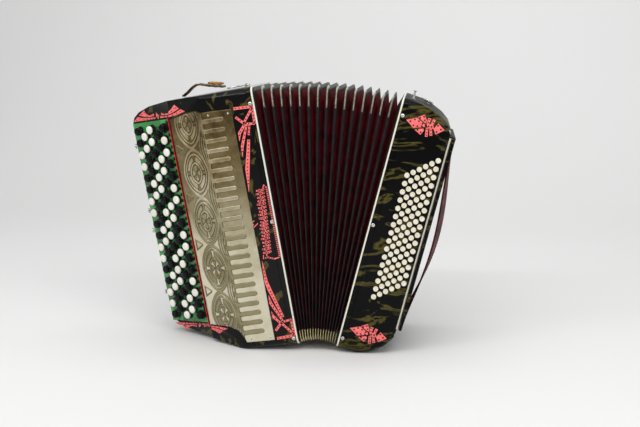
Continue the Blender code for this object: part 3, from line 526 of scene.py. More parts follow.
def make_ring(name, side, low, high, finish, node):
    """Make a flat ring between two distances outwards from the bellows."""
    share = 0.0 if side == "treble" else 1.0
    outer, inner = rounded_outline(share, 0, 8), rounded_outline(share, STRIP_WIDTH, 8)
    bm = bmesh.new()
    loops = [[place(side, level, *p) for p in line]
             for line, level in ((outer, low), (outer, high), (inner, high), (inner, low))]
    skin(bm, loops + [loops[0]])
    bmesh.ops.remove_doubles(bm, verts=bm.verts, dist=0.001 * MM)
    make_piece(name, bm, [finish], side + "_half", [node], bevel=0.5)


for side in SIDES:
    make_ring(side + "_ivory_strip", side, 0.3, 3.0, ivory_celluloid,
              side + "_edge_strip")
    make_ring(side + "_frame_ring", side, 3.3, 11.0, CASE_FINISH[side],
              side + "_bellows_frame")
print("rings made for", len(SIDES), "sides")

# %% [markdown]
# ## Folded bellows
# The bellows have sixteen folds. Each ridge is a strip of leathercloth over the edge of two cards,
# and the valleys show dark red lining paper. Every ridge is its own piece, from valley to valley.

# %% Ridges of the bellows
FOLDS = 16
STATIONS = 2 * FOLDS
FOLD_DEPTH = 24.0
RIDGE_ROUNDING = 0.16
CLOTH_REACH, CARD_REACH = 0.24, 0.4
CORNER_STEPS = 5
FOLD_OFFSETS = (-1.0, -0.7, -0.42, -0.3, -0.16, -0.07, 0.07, 0.16, 0.3, 0.42, 0.7, 1.0)


def fold_depth(offset):
    """Return how deep the cloth lies at an offset from a ridge, with the ridge softly rounded."""
    away = abs(offset)
    if away >= RIDGE_ROUNDING:
        return FOLD_DEPTH * away
    return FOLD_DEPTH * (RIDGE_ROUNDING / 2 + away * away / (2 * RIDGE_ROUNDING))


def fold_loop(ridge, offset):
    """Return the ring of points at an offset across a ridge."""
    share = min(max((ridge + offset) / STATIONS, 0.0), 1.0)
    return [fan_point(share, *p) for p in rounded_outline(share, fold_depth(offset), CORNER_STEPS)]


def blend_with_fan(piece):
    """Bake a piece of the bellows into place in its own mesh."""
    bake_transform(piece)


for ridge in range(0, STATIONS + 1, 2):
    bm = bmesh.new()
    offsets = [offset for offset in FOLD_OFFSETS if 0 <= ridge + offset <= STATIONS]
    if ridge == 0:
        offsets = [0.0] + offsets
    if ridge == STATIONS:
        offsets = offsets + [0.0]
    rows = [[bm.verts.new(p) for p in fold_loop(ridge, offset)] for offset in offsets]
    for (first, second), (a, b) in zip(zip(rows, rows[1:]), zip(offsets, offsets[1:])):
        away = abs(a + b) / 2
        finish = 0 if away < CLOTH_REACH else 1 if away < CARD_REACH else 2
        for i in range(len(first)):
            j = (i + 1) % len(first)
            bm.faces.new((first[i], first[j], second[j], second[i])).material_index = finish
    fold = make_piece(f"bellows_fold_{ridge // 2:02d}", bm, [ridge_cloth, wall_card, valley_paper],
                      None, ["bellows"], sharp=50)
    blend_with_fan(fold)
print("folds:", FOLDS, "each", round(2 * FOLD_DEPTH), "mm of cloth from valley to valley")

# %% [markdown]
# ## Metal corners on the folds
# Every ridge has a pressed metal shoe over each of its four corners. The upper shoes are tinned
# and pale, the lower ones gilt. Each is a sheet 0.6 mm thick that follows the ridge 0.4 mm off the
# cloth, with a leg along each side of the corner.

# %% Corner shoes
LEG_UP = 20.0
LOW_LEG_UP = 8.0
LEG_IN = 12.0


def corner_line(share, corner, margin):
    """Return the (front, up) line of one corner: up one leg, round the bend, along the other."""
    ring = rounded_outline(share, margin, CORNER_STEPS)
    leg_up = LEG_UP if corner < 2 else LOW_LEG_UP
    bend = ring[corner * (CORNER_STEPS + 1):(corner + 1) * (CORNER_STEPS + 1)]
    fronts = (bend[0][0], bend[-1][0])
    inwards = -1 if corner in (0, 3) else 1
    upright = -1 if corner < 2 else 1
    if corner in (1, 3):
        first_leg = (fronts[0] + inwards * LEG_IN, bend[0][1])
        last_leg = (fronts[1], bend[-1][1] + upright * leg_up)
    else:
        first_leg = (fronts[0], bend[0][1] + upright * leg_up)
        last_leg = (fronts[1] + inwards * LEG_IN, bend[-1][1])
    return [first_leg] + bend + [last_leg]


CORNER_NODES = ("bellows_corners_front_top", "bellows_corners_rear_top", "bellows_corners_rear_bottom",
                "bellows_corners_front_bottom")
for ridge in range(2, STATIONS, 2):
    bm = bmesh.new()
    for corner in range(4):
        finish = 0 if corner < 2 else 1
        outside, inside = [], []
        for offset in (-0.2, -0.1, 0.0, 0.1, 0.2):
            share = (ridge + offset) / STATIONS
            depth = fold_depth(offset)
            outside.append([fan_point(share, *p) for p in corner_line(share, corner, depth - 1.0)])
            inside.append([fan_point(share, *p) for p in corner_line(share, corner, depth - 0.4)])
        skin(bm, outside + inside[::-1] + [outside[0]], False, finish)
    bmesh.ops.remove_doubles(bm, verts=bm.verts, dist=0.001 * MM)
    bmesh.ops.holes_fill(bm, edges=[e for e in bm.edges if e.is_boundary], sides=12)
    shoes = make_piece(f"bellows_corner_shoes_{ridge // 2:02d}", bm, [tinned, gilt_lacquer], None,
                       CORNER_NODES, sharp=50)
    blend_with_fan(shoes)
print("corner shoes:", 4 * (FOLDS - 1))

# %% [markdown]
# ## Pressed grille
# The grille is a thin sheet bent along an upright crease: a flat part in front with 23 round-ended
# bars, and a sloping part with five oval rosettes and flame lines that flow along the crease. The
# die pressed the whole picture in one blow, so it is made the same way: a fine grid of points is
# laid over the bent sheet, and one function says how high the metal stands at each point.

# %% Height of the pressing at any point
BARS = 23
BAR_FIRST = 382.0
BAR_PITCH = 15.85
BAR_START, BAR_END = 55.8, 86.6
CREASE = 85.0
ROSETTES = 5
ROSETTE_PITCH = 79.5
ROSETTE_MIDDLE = 117.0
ROSETTE_HALF_WIDTH, ROSETTE_HALF_HEIGHT = 24.0, 39.2
SLOPE = 40.0 / 65.0


def soft(value, low, high):
    """Return 0 below low, 1 above high, and a smooth rise between them."""
    t = min(max((value - low) / (high - low), 0.0), 1.0)
    return t * t * (3 - 2 * t)


def ridge_line(away, half_width):
    """Return 1 on a line and 0 beyond its soft edge."""
    return 1 - soft(abs(away), half_width * 0.55, half_width)


def segment_distance(out, up, start, end):
    """Return how far a point lies from a straight segment, and how far along it is."""
    run, rise = end[0] - start[0], end[1] - start[1]
    t = ((out - start[0]) * run + (up - start[1]) * rise) / (run * run + rise * rise)
    t = min(max(t, 0.0), 1.0)
    return math.hypot(out - start[0] - t * run, up - start[1] - t * rise), t


def bar_height(out, up):
    """Return the height of the bars: round towards the bellows, flame-shaped over the crease."""
    number = min(max(round((BAR_FIRST - up) / BAR_PITCH), 0), BARS - 1)
    best = 0.0
    for index in (number, number + 1):
        level = BAR_FIRST - index * BAR_PITCH
        if index < BARS:
            away, _ = segment_distance(out, up, (BAR_START, level), (BAR_END, level))
            best = max(best, 1 - soft(away, 2.7, 4.0))
            away, along = segment_distance(out, up, (85.0, level), (92.0, level + 6.0))
            arm = 1 - soft(away, 1.7 - 1.2 * along, 2.8 - 1.7 * along)
            best = max(best, (1 - 0.4 * along) * arm)
    return best


def rosette_height(out, up):
    """Return the height of the nearest rosette: petals, a ring, four leaves and outer rings."""
    number = min(max(round((BAR_FIRST - up) / ROSETTE_PITCH), 0), ROSETTES - 1)
    x = (out - ROSETTE_MIDDLE) / ROSETTE_HALF_WIDTH
    y = (up - BAR_FIRST + number * ROSETTE_PITCH) / ROSETTE_HALF_HEIGHT
    ring = (abs(x) ** 1.7 + abs(y) ** 1.7) ** (1 / 1.7)
    turn = math.atan2(y, x)
    petals = soft(abs(math.cos(2 * turn)), 0.35, 0.8) * ridge_line(ring - 0.2, 0.17)
    leaves = soft(abs(math.sin(2 * turn)), 0.12, 0.5) * ridge_line(ring - 0.6, 0.13)
    circles = max(ridge_line(ring - 0.42, 0.055), ridge_line(ring - 0.79, 0.055),
                  ridge_line(ring - 0.97, 0.085))
    return max(0.75 * petals, 0.9 * leaves, circles, 0.6 * ridge_line(ring, 0.07)), ring


def flame_height(out, up):
    """Return the height of the lines that flow along the crease, drawn together at each rosette."""
    wave = 0.5 - 0.5 * math.cos(2 * math.pi * (BAR_FIRST - up) / ROSETTE_PITCH)
    spacing = 1.9 + 2.6 * wave
    best = 0.0
    for line in range(4):
        best = max(best, ridge_line(out - 87.5 - line * spacing, 1.15))
    return best


def corner_triangle(out, up):
    """Return the height of the small triangle frames between rosettes, on the outer side."""
    phase = ((BAR_FIRST - up) / ROSETTE_PITCH) % 1.0 - 0.5
    y = phase * ROSETTE_PITCH
    x = out - 134.0
    if not -1.0 < x < 13.0:
        return 0.0
    frame_line = abs(y) - (1.0 + 0.62 * x)
    return max(ridge_line(frame_line, 1.1), ridge_line(x - 11.5, 1.0) if frame_line < 0 else 0.0)


def pressing(out, up):
    """Return the relief, from 0 in the ground to 1 on the highest lines."""
    best = bar_height(out, up)
    if out > CREASE:
        rosette, ring = rosette_height(out, up)
        inside = 1 - soft(ring, 0.98, 1.06)
        best = max(best * (1 - inside), rosette, flame_height(out, up) * (1 - inside),
                   0.85 * corner_triangle(out, up) * (1 - inside))
    return best


print("relief on a bar:", round(pressing(70, BAR_FIRST), 2), "beside it:", pressing(70, BAR_FIRST + 8))

# %% Press the sheet
GRID = 0.85
PRESS_HEIGHT = 1.25
CREASE_WIDTH = 2.5
SLOPE_WAY = (0.524, 0.852)
GRILLE_LEFT, GRILLE_RIGHT = 150.6, 38.0
BOTTOM_EDGE = [(38, 15), (84, 17), (88, 27), (96, 37), (113, 43), (151, 45.5)]
TOP_EDGE = [(38, 395), (87, 397), (98, 402), (116, 401), (151, 393)]


def edge_level(edge, out):
    """Return the height of a stepped edge line at a distance outwards."""
    for (a, low), (b, high) in zip(edge, edge[1:]):
        if a <= out <= b:
            return low + (high - low) * (out - a) / (b - a)
    return edge[-1][1]


def sheet_front(out):
    """Return how far forward the sheet's ground lies: flat, a soft crease, then the slope."""
    start, end = CREASE - CREASE_WIDTH, CREASE + CREASE_WIDTH
    if out < start:
        return 1.1
    if out > end:
        return 1.3 - SLOPE * (out - CREASE)
    return 1.1 - SLOPE * (out - start) ** 2 / (4 * CREASE_WIDTH) + 0.2 * soft(out, start, end)


columns = int((GRILLE_LEFT - GRILLE_RIGHT) / GRID)
rows = int(380 / GRID)
points, heights, faces = [], [], []
for i in range(columns + 1):
    out = GRILLE_RIGHT + (GRILLE_LEFT - GRILLE_RIGHT) * i / columns
    low, high = edge_level(BOTTOM_EDGE, out), edge_level(TOP_EDGE, out)
    lean_out, lean_front = (0.0, 1.0) if out < CREASE else SLOPE_WAY
    for j in range(rows + 1):
        up = low + (high - low) * j / rows
        rise = pressing(out, up)
        border = min(soft(j, 0, 3), soft(rows - j, 0, 3), soft(i, 0, 3), soft(columns - i, 0, 3))
        rise *= border
        lift = PRESS_HEIGHT * rise - 0.5 * (1 - border)
        points.append(place("treble", out + lean_out * lift, sheet_front(out) + lean_front * lift, up))
        heights.append(rise)
for i in range(columns):
    for j in range(rows):
        a = i * (rows + 1) + j
        faces.append((a, a + rows + 1, a + rows + 2, a + 1))
grille_mesh = bpy.data.meshes.new("pressed_grille")
grille_mesh.from_pydata(points, [], faces)
grille_mesh.attributes.new("relief", "FLOAT", "POINT").data.foreach_set("value", heights)
grille_mesh.materials.append(nickel)
grille_mesh.shade_smooth()
pressed_grille = bpy.data.objects.new("pressed_grille", grille_mesh)
scene.collection.objects.link(pressed_grille)
rim = pressed_grille.modifiers.new("sheet_thickness", "SOLIDIFY")
rim.thickness = 0.8 * MM
rim.offset = -1 if grille_mesh.polygons[0].normal.y < 0 else 1
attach(pressed_grille, "treble_half")
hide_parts("treble_grille")
print("grille grid:", columns, "by", rows)

# %% [markdown]
# ## Stepped button board
# The treble buttons stand on a board that slopes back at 32 degrees in five shallow steps, one for
# each row. Every button has its own round hole, and a dark ring of painted shade lies under each
# cap. Beside the grille runs a row of small green blocks on a black strip that paints the shade in the
# slots between them, closed by a thin red line.

# %% Draw the board and drill its holes
ROWS = 5
ROW_SPACING = 15.4
TREBLE_PITCH = 20.0
TREBLE_FIRST = 381.4
BOARD_SLOPE = math.radians(31.9)
BOARD_NORMAL = Vector((math.sin(BOARD_SLOPE), math.cos(BOARD_SLOPE)))
BOARD_ALONG = Vector((math.cos(BOARD_SLOPE), -math.sin(BOARD_SLOPE)))
ROW_5_FOOT = Vector((164.2, -52.4))
STEP = 0.6


def board_place(along, lift, up):
    """Return the place of a point on the board: along it from row 5, off its face, and up."""
    out, front = ROW_5_FOOT + BOARD_ALONG * along + BOARD_NORMAL * lift
    return place("treble", out, front, up)


def row_along(row):
    """Return how far a row lies along the board from row 5."""
    return (ROWS - row) * ROW_SPACING


def row_levels(row):
    """Return the heights of a row's buttons: 17 in odd rows, 16 half a pitch lower in even ones."""
    shift, count = (0.5, 16) if row % 2 == 0 else (0.0, 17)
    return [TREBLE_FIRST - (number + shift) * TREBLE_PITCH for number in range(count)]


def step_face(row):
    """Return how high a row's step stands off the board's middle face."""
    return STEP * (row - 3)


INNER_BORDER, OUTER_BORDER = 13.0, 17.0
section = [(-INNER_BORDER, -4.0), (4 * ROW_SPACING + OUTER_BORDER, -4.0)]
for row in range(1, ROWS + 1):
    start = row_along(row) - (ROW_SPACING / 2 if row < ROWS else INNER_BORDER)
    end = row_along(row) + (ROW_SPACING / 2 if row > 1 else OUTER_BORDER)
    section += [(end, step_face(row)), (start, step_face(row))]
bm = bmesh.new()
skin(bm, [[board_place(along, lift, up) for along, lift in section] for up in (48.0, 395.0)],
     capped=True)
holes = bmesh.new()
board_out = direction("treble", BOARD_NORMAL.x, BOARD_NORMAL.y, 0)
for row in range(1, ROWS + 1):
    for level in row_levels(row):
        lathe(holes, board_place(row_along(row), -6, level), board_out, [(3.1, 0), (3.1, 12)], 12)
button_board = make_piece("stepped_button_board", bm, [green_pearloid], "treble_half",
                          ["fingerboard"], sharp=20)
drill(button_board, loose_mesh(holes))
print("holes in the board:", sum(len(row_levels(row)) for row in range(1, ROWS + 1)))

# %% Add the block channel with its painted shade, the red line and the rings of painted shade
def board_block(bm, start, end, low, high, bottom, top, finish):
    """Add a small block on the board, between two distances along it and two heights off it."""
    corners = [(start, bottom), (end, bottom), (end, top), (start, top)]
    skin(bm, [[board_place(a, b, up) for a, b in corners] for up in (low, high)], True, finish, True)


BLOCKS = 30
CHANNEL_FACE = step_face(5)
bm = bmesh.new()
# The black strip under the green blocks is painted shade, standing for the dark slots between them.
board_block(bm, -13.0, -6.9, 56, 392, CHANNEL_FACE + 0.1, CHANNEL_FACE + 0.35, 0)
for number in range(BLOCKS):
    level = 84 + number * 10.0
    board_block(bm, -12.7, -7.1, level - 2.4, level + 2.4, CHANNEL_FACE + 0.3, CHANNEL_FACE + 1.2, 1)
board_block(bm, -14.6, -13.2, 46, 397, -2.0, 3.4, 2)
make_piece("block_channel", bm, [black_pips, green_pearloid, red_line_celluloid], "treble_half",
           bevel=0.2)
# A black ring under each cap is painted shade, which darkens the board round every button.
PAINTED_SHADE_RING = [(3.2, 0.08), (3.2, 0.02), (8.3, 0.02), (8.3, 0.45), (7.9, 0.6), (7.1, 0.6), (7.0, 0.08),
          (3.2, 0.08)]
bm = bmesh.new()
for row in range(1, ROWS + 1):
    for level in row_levels(row):
        foot = board_place(row_along(row), step_face(row), level)
        lathe(bm, foot, board_out, PAINTED_SHADE_RING, 20, open_ends=True)
bmesh.ops.remove_doubles(bm, verts=bm.verts, dist=0.001 * MM)
make_piece("painted_shade_rings", bm, [wall_card], "treble_half", sharp=40)
print("green blocks:", BLOCKS)

# %% [markdown]
# ## Treble buttons
# Each button is a domed casein cap on a steel stem, 13.6 mm across. They are laid out like piano
# notes that run diagonally over the rows, white for the natural notes and black for the others,
# so the colour of each follows from its place in the scale.

# %% Turn and colour the treble buttons
NATURAL_NOTES = (0, 2, 4, 5, 7, 9, 11)
ROW_NOTES = {1: 3, 2: 4, 3: 2, 4: 3, 5: 1}
STEM = [(2.4, -4.5), (2.4, 5.3)]
CAP = [(2.4, 5.3), (5.9, 5.3), (6.6, 5.7), (6.8, 6.5), (6.75, 7.6), (6.3, 8.5), (5.2, 9.15),
       (3.6, 9.45), (1.6, 9.5)]
for row in range(1, ROWS + 1):
    bm = bmesh.new()
    for number, level in enumerate(row_levels(row)):
        foot = board_place(row_along(row), 0, level)
        note = (3 * number + ROW_NOTES[row]) % 12
        lathe(bm, foot, board_out, STEM, 10, 2)
        lathe(bm, foot, board_out, CAP, 24, 0 if note in NATURAL_NOTES else 1)
    make_piece(f"treble_caps_row_{row}", bm, [white_casein, black_casein, zinc], f"treble_row_{row}",
               [f"treble_buttons_row_{row}"], sharp=50)
print("row 1 starts with note", ROW_NOTES[1])

# %% [markdown]
# ## Bass buttons and their board
# The 96 bass buttons are small pistons with a dimple in the middle, in six slanting rows. They
# come up through a thin drilled board that lies over the case. The board is one slanting plate,
# and its holes leave 0.35 mm around each piston.

# %% Drill the bass board and turn its pistons
BASS_ROWS, BASS_COLUMNS = 6, 16
BASS_PITCH, BASS_ROW_SPACING, BASS_ROW_RISE = 13.5, 8.1, 6.85
BASS_FIRST = (37.4, 302.4)


def bass_level(row, column):
    """Return (out, up) of one bass button."""
    return (BASS_FIRST[0] + row * BASS_ROW_SPACING,
            BASS_FIRST[1] + row * BASS_ROW_RISE - column * BASS_PITCH)


front_way = direction("bass", 0, 1, 0)
PLATE_START, PLATE_END, PLATE_FOOT, PLATE_TOP = 31.0, 84.5, 90.0, 304.0
plate_rise = (PLATE_END - PLATE_START) * BASS_ROW_RISE / BASS_ROW_SPACING
plate = [(PLATE_START, PLATE_FOOT), (PLATE_END, PLATE_FOOT + plate_rise),
         (PLATE_END, PLATE_TOP + plate_rise), (PLATE_START, PLATE_TOP)]
bm = bmesh.new()
skin(bm, [[place("bass", out, level, up) for out, up in plate] for level in (0.05, 0.65)],
     capped=True)
holes = bmesh.new()
for row in range(BASS_ROWS):
    for column in range(BASS_COLUMNS):
        out, up = bass_level(row, column)
        lathe(holes, place("bass", out, -2, up), front_way, [(4.55, 0), (4.55, 5)], 16)
bass_board = make_piece("drilled_bass_board", bm, [bass_celluloid], "bass_half")
drill(bass_board, loose_mesh(holes))

PISTON = [(4.2, -3.0), (4.2, 2.7), (4.0, 3.15), (3.5, 3.4), (2.2, 3.35), (1.1, 2.9), (0.5, 2.75)]
for row in range(BASS_ROWS):
    bm = bmesh.new()
    for column in range(BASS_COLUMNS):
        out, up = bass_level(row, column)
        lathe(bm, place("bass", out, 0, up), front_way, PISTON, 18)
    make_piece(f"bass_pistons_row_{row + 1}", bm, [cream_casein], f"bass_row_{row + 1}",
               [f"bass_buttons_row_{row + 1}"], sharp=50)
print("bass buttons:", BASS_ROWS * BASS_COLUMNS)

# %% [markdown]
# ## Coral inlays
# Ribbon bows of coral celluloid are laid into the black, each band pricked with a row of black
# pips. A band is drawn from a line and its widths, a leaf from its corners, and both become thin
# slabs a third of a millimetre proud with pips set along the middle.

# %% Helpers for bands, leaves and pips
INLAY_RISE = 0.35
NARROWEST_PIPPED = 2.2


def case_front(side, out):
    """Return how far forward the case face lies: flat, then the slope, then the keyboard neck."""
    if side == "bass" or out <= CREASE:
        return 0.0
    if out <= 150.0:
        return -SLOPE * (out - CREASE)
    return -49.0 - (out - 150.0) * 0.6235


def on_face(side, spot, rise):
    """Return the place of (out, up) on the case front, lifted straight off its face."""
    out, up = spot
    lean_out, lean_front = (0.0, 1.0) if side == "bass" or out <= CREASE else SLOPE_WAY
    return place(side, out + lean_out * rise, case_front(side, out) + lean_front * rise, up)


def add_leaf(bm, side, corners):
    """Add a thin slab with these (out, up) corners to the case front."""
    low = [bm.verts.new(on_face(side, spot, -0.2)) for spot in corners]
    high = [bm.verts.new(on_face(side, spot, INLAY_RISE)) for spot in corners]
    for i in range(len(corners)):
        j = (i + 1) % len(corners)
        bm.faces.new((low[i], low[j], high[j], high[i]))
    for ring in (low, high):
        bm.faces.new(ring)


def add_pip(bm, side, spot, radius=1.1):
    """Add one small round black pip, slightly proud of the coral."""
    base = on_face(side, spot, INLAY_RISE - 0.1)
    lathe(bm, base, on_face(side, spot, 1.0) - base,
          [(radius, 0), (radius, 0.18), (radius * 0.5, 0.24)], 8, 1)


def inlay_piece(name, bm, side):
    """Finish a drawn inlay: coral slabs with black pips, riding on its case."""
    make_piece(name, bm, [coral_celluloid, black_pips], side + "_half", sharp=30)


def add_band(bm, side, line, widths, pip_pitch=5.2):
    """Add a ribbon along a line of (out, up) points with a width at each, and prick it."""
    left, right = [], []
    for i, here in enumerate(line):
        before, after = line[max(i - 1, 0)], line[min(i + 1, len(line) - 1)]
        run = Vector(after) - Vector(before)
        across = Vector((-run.y, run.x)).normalized() * widths[i] / 2
        left.append(Vector(here) + across)
        right.append(Vector(here) - across)
    add_leaf(bm, side, left + right[::-1])
    for (a, b), (wide_a, wide_b) in zip(zip(line, line[1:]), zip(widths, widths[1:])):
        run = Vector(b) - Vector(a)
        count = max(int(run.length / pip_pitch), 1)
        for k in range(count):
            t = (k + 0.5) / count
            if wide_a + (wide_b - wide_a) * t > NARROWEST_PIPPED:
                add_pip(bm, side, Vector(a) + run * t)


print("inlays stand", INLAY_RISE, "mm proud")

# %% Lay the treble bows
def treble_bow(name, middle, flip, tails):
    """Lay one ribbon bow: loops towards the bellows, and long tails that run the other way."""
    bm = bmesh.new()

    def at(out, rise):
        return (out, middle + flip * rise)

    for line, widths in (
            ([at(34, 26.5), at(4.5, 25)], (4.4, 4.4)), ([at(4.8, 25), at(5.4, -2)], (3.6, 3.6)),
            ([at(5, -2), at(18, 0)], (3.4, 3.4)), ([at(6, 22), at(23, 1)], (3.6, 3.6)),
            ([at(33.5, 13), at(21, 0)], (4.0, 4.0))):
        add_band(bm, "treble", line, widths)
    for line, widths in tails:
        add_band(bm, "treble", [at(out, -drop) for out, drop in line], widths)
    inlay_piece(name, bm, "treble")


treble_bow("treble_bow_top", 368.0, 1, (
    ([(21, 0), (32, 13), (34.4, 25)], (4.0, 5.0, 0.4)),
    ([(18, 1), (26, 20), (31.5, 34), (34.2, 50)], (2.6, 4.0, 4.6, 0.4)),
    ([(14, 2), (18, 18)], (3.2, 3.2)), ([(19.4, 25), (30, 70), (34.6, 107)], (4.4, 7.0, 0.4))))
treble_bow("treble_bow_bottom", 43.0, -1, (
    ([(24, -1), (33.0, 10), (35, 20)], (3.6, 4.6, 0.4)),
    ([(19.5, 2), (33.5, 34), (34.6, 47)], (3.2, 4.8, 0.4)),
    ([(17.5, 8), (31, 55), (34.4, 70), (34.6, 104)], (3.6, 6.4, 5.6, 0.4))))
print("treble bows laid")

# %% Lay the scroll between the bows
bm = bmesh.new()
add_band(bm, "treble", [(5.6, 264), (4.8, 149)], (2.6, 2.6), 3.2)
add_band(bm, "treble", [(5.6, 264), (9.4, 268), (11.6, 263)], (2.4, 3.0, 1.2), 3.2)
add_band(bm, "treble", [(34.5, 214), (39, 212), (36.5, 204), (30, 209)], (1.6, 2.2, 2.4, 1.4), 3.4)
add_band(bm, "treble", [(30.5, 157), (31.5, 151), (24, 152), (14, 148), (6, 149)],
         (1.4, 2.4, 2.4, 2.4, 1.6), 3.4)
STROKES = 19
for number in range(STROKES):
    level = 260.5 - number * 5.6
    near = 12.5 + 7.0 * number / (STROKES - 1)
    swell = 1.2 * math.sin(number * 1.9)
    add_band(bm, "treble", [(near - 2.8, level + 1.4), (near + 4.2, level - 0.8 + swell),
                            (near + 10.5 + swell, level + 0.6)], (3.0, 3.8, 2.6), 3.4)
add_band(bm, "treble", [(17.5, 263), (18.6, 207), (25.4, 154)], (1.6, 1.6, 1.6), 3.0)
inlay_piece("treble_scroll", bm, "treble")
print("scroll strokes:", STROKES)

# %% Lay the bass bows
def bass_bow(name, out, up, squash_rise):
    """Lay one flat ribbon bow about a middle point: three leaves, four ribbons and a right leaf."""
    bm = bmesh.new()

    def at(x, y):
        return (out + x, up + y * squash_rise)

    leaves = (
        [(-37, 1), (-21.5, 8.5), (-7, 1.2), (-6.4, -2.2), (-23, -8.4)],
        [(-20.5, 9.6), (-11.5, 16), (-5.6, 7.6), (-6.6, 3.2)],
        [(-20.5, -10.4), (-8, -5.2), (-6.2, -7.8), (-9.6, -15.8)],
        [(-5.2, 3), (5, 4.2), (8, -1.8), (-1.4, -3.4)],
        [(12.2, 8.2), (24.4, 0.4), (12.6, -9.4), (7.2, -2.2)],
    )
    for leaf in leaves:
        add_leaf(bm, "bass", [at(*corner) for corner in leaf])
    for x, y in ((-30, 0.5), (-24, 5), (-24, -4.4), (-17.5, 4), (-17.5, -4.2), (-11, 1.5), (-11, -2.6),
                 (-17, 9.2), (-11.5, 12.4), (-9, 7.5), (-16, -9.5), (-10.4, -11.8), (-1, 0), (3.5, 0.5),
                 (12.6, 4.6), (18.4, 0), (13, -5.2)):
        add_pip(bm, "bass", at(x, y), 1.45)
    for line in ([(-2.6, 12.6), (-3.2, 3.4)], [(5.0, 12.0), (3.4, 4.0)], [(-0.4, -16.4), (-2.6, -3)],
                 [(6.2, -13.0), (2.8, -2.4)]):
        add_band(bm, "bass", [at(*spot) for spot in line], (4.4, 3.6), 4.2)
    inlay_piece(name, bm, "bass")


bass_bow("bass_bow_top", 50.6, 384.0, 1.0)
bass_bow("bass_bow_bottom", 51.0, 38.0, 0.95)
print("bass bows laid")

# %% Lay the two swags on the keyboard ends
def swag(name, level, flip):
    """Lay a double-curved swag with a small leaf in its middle, along one end of the keyboard."""
    bm = bmesh.new()
    groups = (
        [(229, 0.5), (218, 8), (209, 5), (194, 3.4), (181.4, 3), (181.4, 0.4)],
        [(214.8, 10), (202, 17.4), (199.4, 10.6), (192.7, 7.2), (183, 9.4), (183.6, 5.4), (192.5, 4.6),
         (204, 6.6)],
        [(177.6, 10.6), (179.4, 4.4), (175.4, -1.2), (173.6, 4.2)],
        [(167.6, 9.6), (165.2, 6.9), (154.9, 6.4), (150.4, 8.6), (150.4, 4.4), (153.7, 3.6),
         (167.9, 5.0)],
        [(149.8, 8.8), (143.4, 12), (135.4, 18.6), (127.6, 11.4), (140.8, 6.4), (149.8, 4.4)],
        [(171.6, 0.3), (170.8, 3.2), (154.3, 2.4), (150.4, 2.8), (150.4, 0.2)],
        [(149.8, 2.8), (137, 5.2), (125, 10), (117, 5.4), (131.5, 2.2), (149.8, 0.3)],
    )
    for corners in groups:
        add_leaf(bm, "treble", [(out, level + flip * rise) for out, rise in corners])
    for out, rise in ((222, 2.6), (214, 4.6), (206, 2.2), (199, 1.7), (192, 1.5), (186, 1.5), (208, 10.6),
                      (202, 13), (198, 7), (187, 7), (176.6, 3.8), (161, 6), (154, 5.4), (143, 8.4),
                      (137, 12.6), (133, 13), (163, 1.6), (156, 1.4), (142, 2.6), (134, 4.4), (126, 6.6)):
        add_pip(bm, "treble", (out, level + flip * rise))
    inlay_piece(name, bm, "treble")


swag("keyboard_swag_top", 397.6, 1)
swag("keyboard_swag_bottom", 43.0, -0.72)
print("swags laid")

# %% [markdown]
# ## Edge binding
# The right edge of the bass case is bound with a white celluloid line and a tan leathercloth line,
# wrapped over the round of the case. Each is a narrow band that follows the quarter circle of the
# edge and stands 0.3 mm proud of it.

# %% Wrap the two binding lines
BINDING_FOOT, BINDING_TOP = 57, 374
BINDING_STEPS = 24


def wrap_line(name, finish, first, last):
    """Lay a band over the rounded front edge of the bass case, between two angles of its round."""
    bm = bmesh.new()
    loops = []
    for step in range(BINDING_STEPS + 1):
        up = BINDING_FOOT + (BINDING_TOP - BINDING_FOOT) * step / BINDING_STEPS
        line = []
        for angle, radius in ((first, 13.3), ((first + last) / 2, 13.3), (last, 13.3), (last, 12.6),
                              (first, 12.6)):
            turn = math.radians(angle)
            line.append(place("bass", 77 + radius * math.sin(turn), -13 + radius * math.cos(turn), up))
        loops.append(line)
    skin(bm, loops, capped=True)
    make_piece(name, bm, [finish], "bass_half", sharp=50)


wrap_line("white_binding", ivory_celluloid, 42, 58)
wrap_line("tan_binding", tan_line_leather, 58.5, 72)
print("binding laid over a round of 13 mm")

# %% [markdown]
# ## Hand strap
# The player's left hand goes between the case and a slack strap of dark red hide, 72 mm wide. The
# hide bellies outwards and twists a little, its edges are turned and darker, and a row of waxed
# stitches runs 5 mm in from each edge. It is skinned from cross-sections, with the middle thicker
# than the edges.

# %% Skin the hand strap and stitch it
STRAP_FRONT, STRAP_BACK = -56.0, -128.0
STRAP_OUT, STRAP_BELLY = 97.0, 22.0
STRAP_TOP, STRAP_LENGTH = 370.0, 318.0
STRAP_TWIST = 11.0
STRAP_STEPS = 48
STITCHES = 58


def strap_spot(t):
    """Return (out, up) on the strap's middle line, from its upper to its lower fixing."""
    sag = math.sin(math.pi * t ** 1.15) ** 1.25
    return Vector((STRAP_OUT + STRAP_BELLY * sag, STRAP_TOP - STRAP_LENGTH * t))


def strap_point(t, front, offset):
    """Return a place on the strap: the slack hide twists, so its front edge hangs nearer the case."""
    offset -= STRAP_TWIST * math.sin(math.pi * t) * (front - STRAP_BACK) / (STRAP_FRONT - STRAP_BACK)
    along = strap_spot(min(t + 0.01, 1.0)) - strap_spot(max(t - 0.01, 0.0))
    away = Vector((-along.y, along.x)).normalized()
    spot = strap_spot(t) + away * offset
    return place("bass", spot.x, front, spot.y)


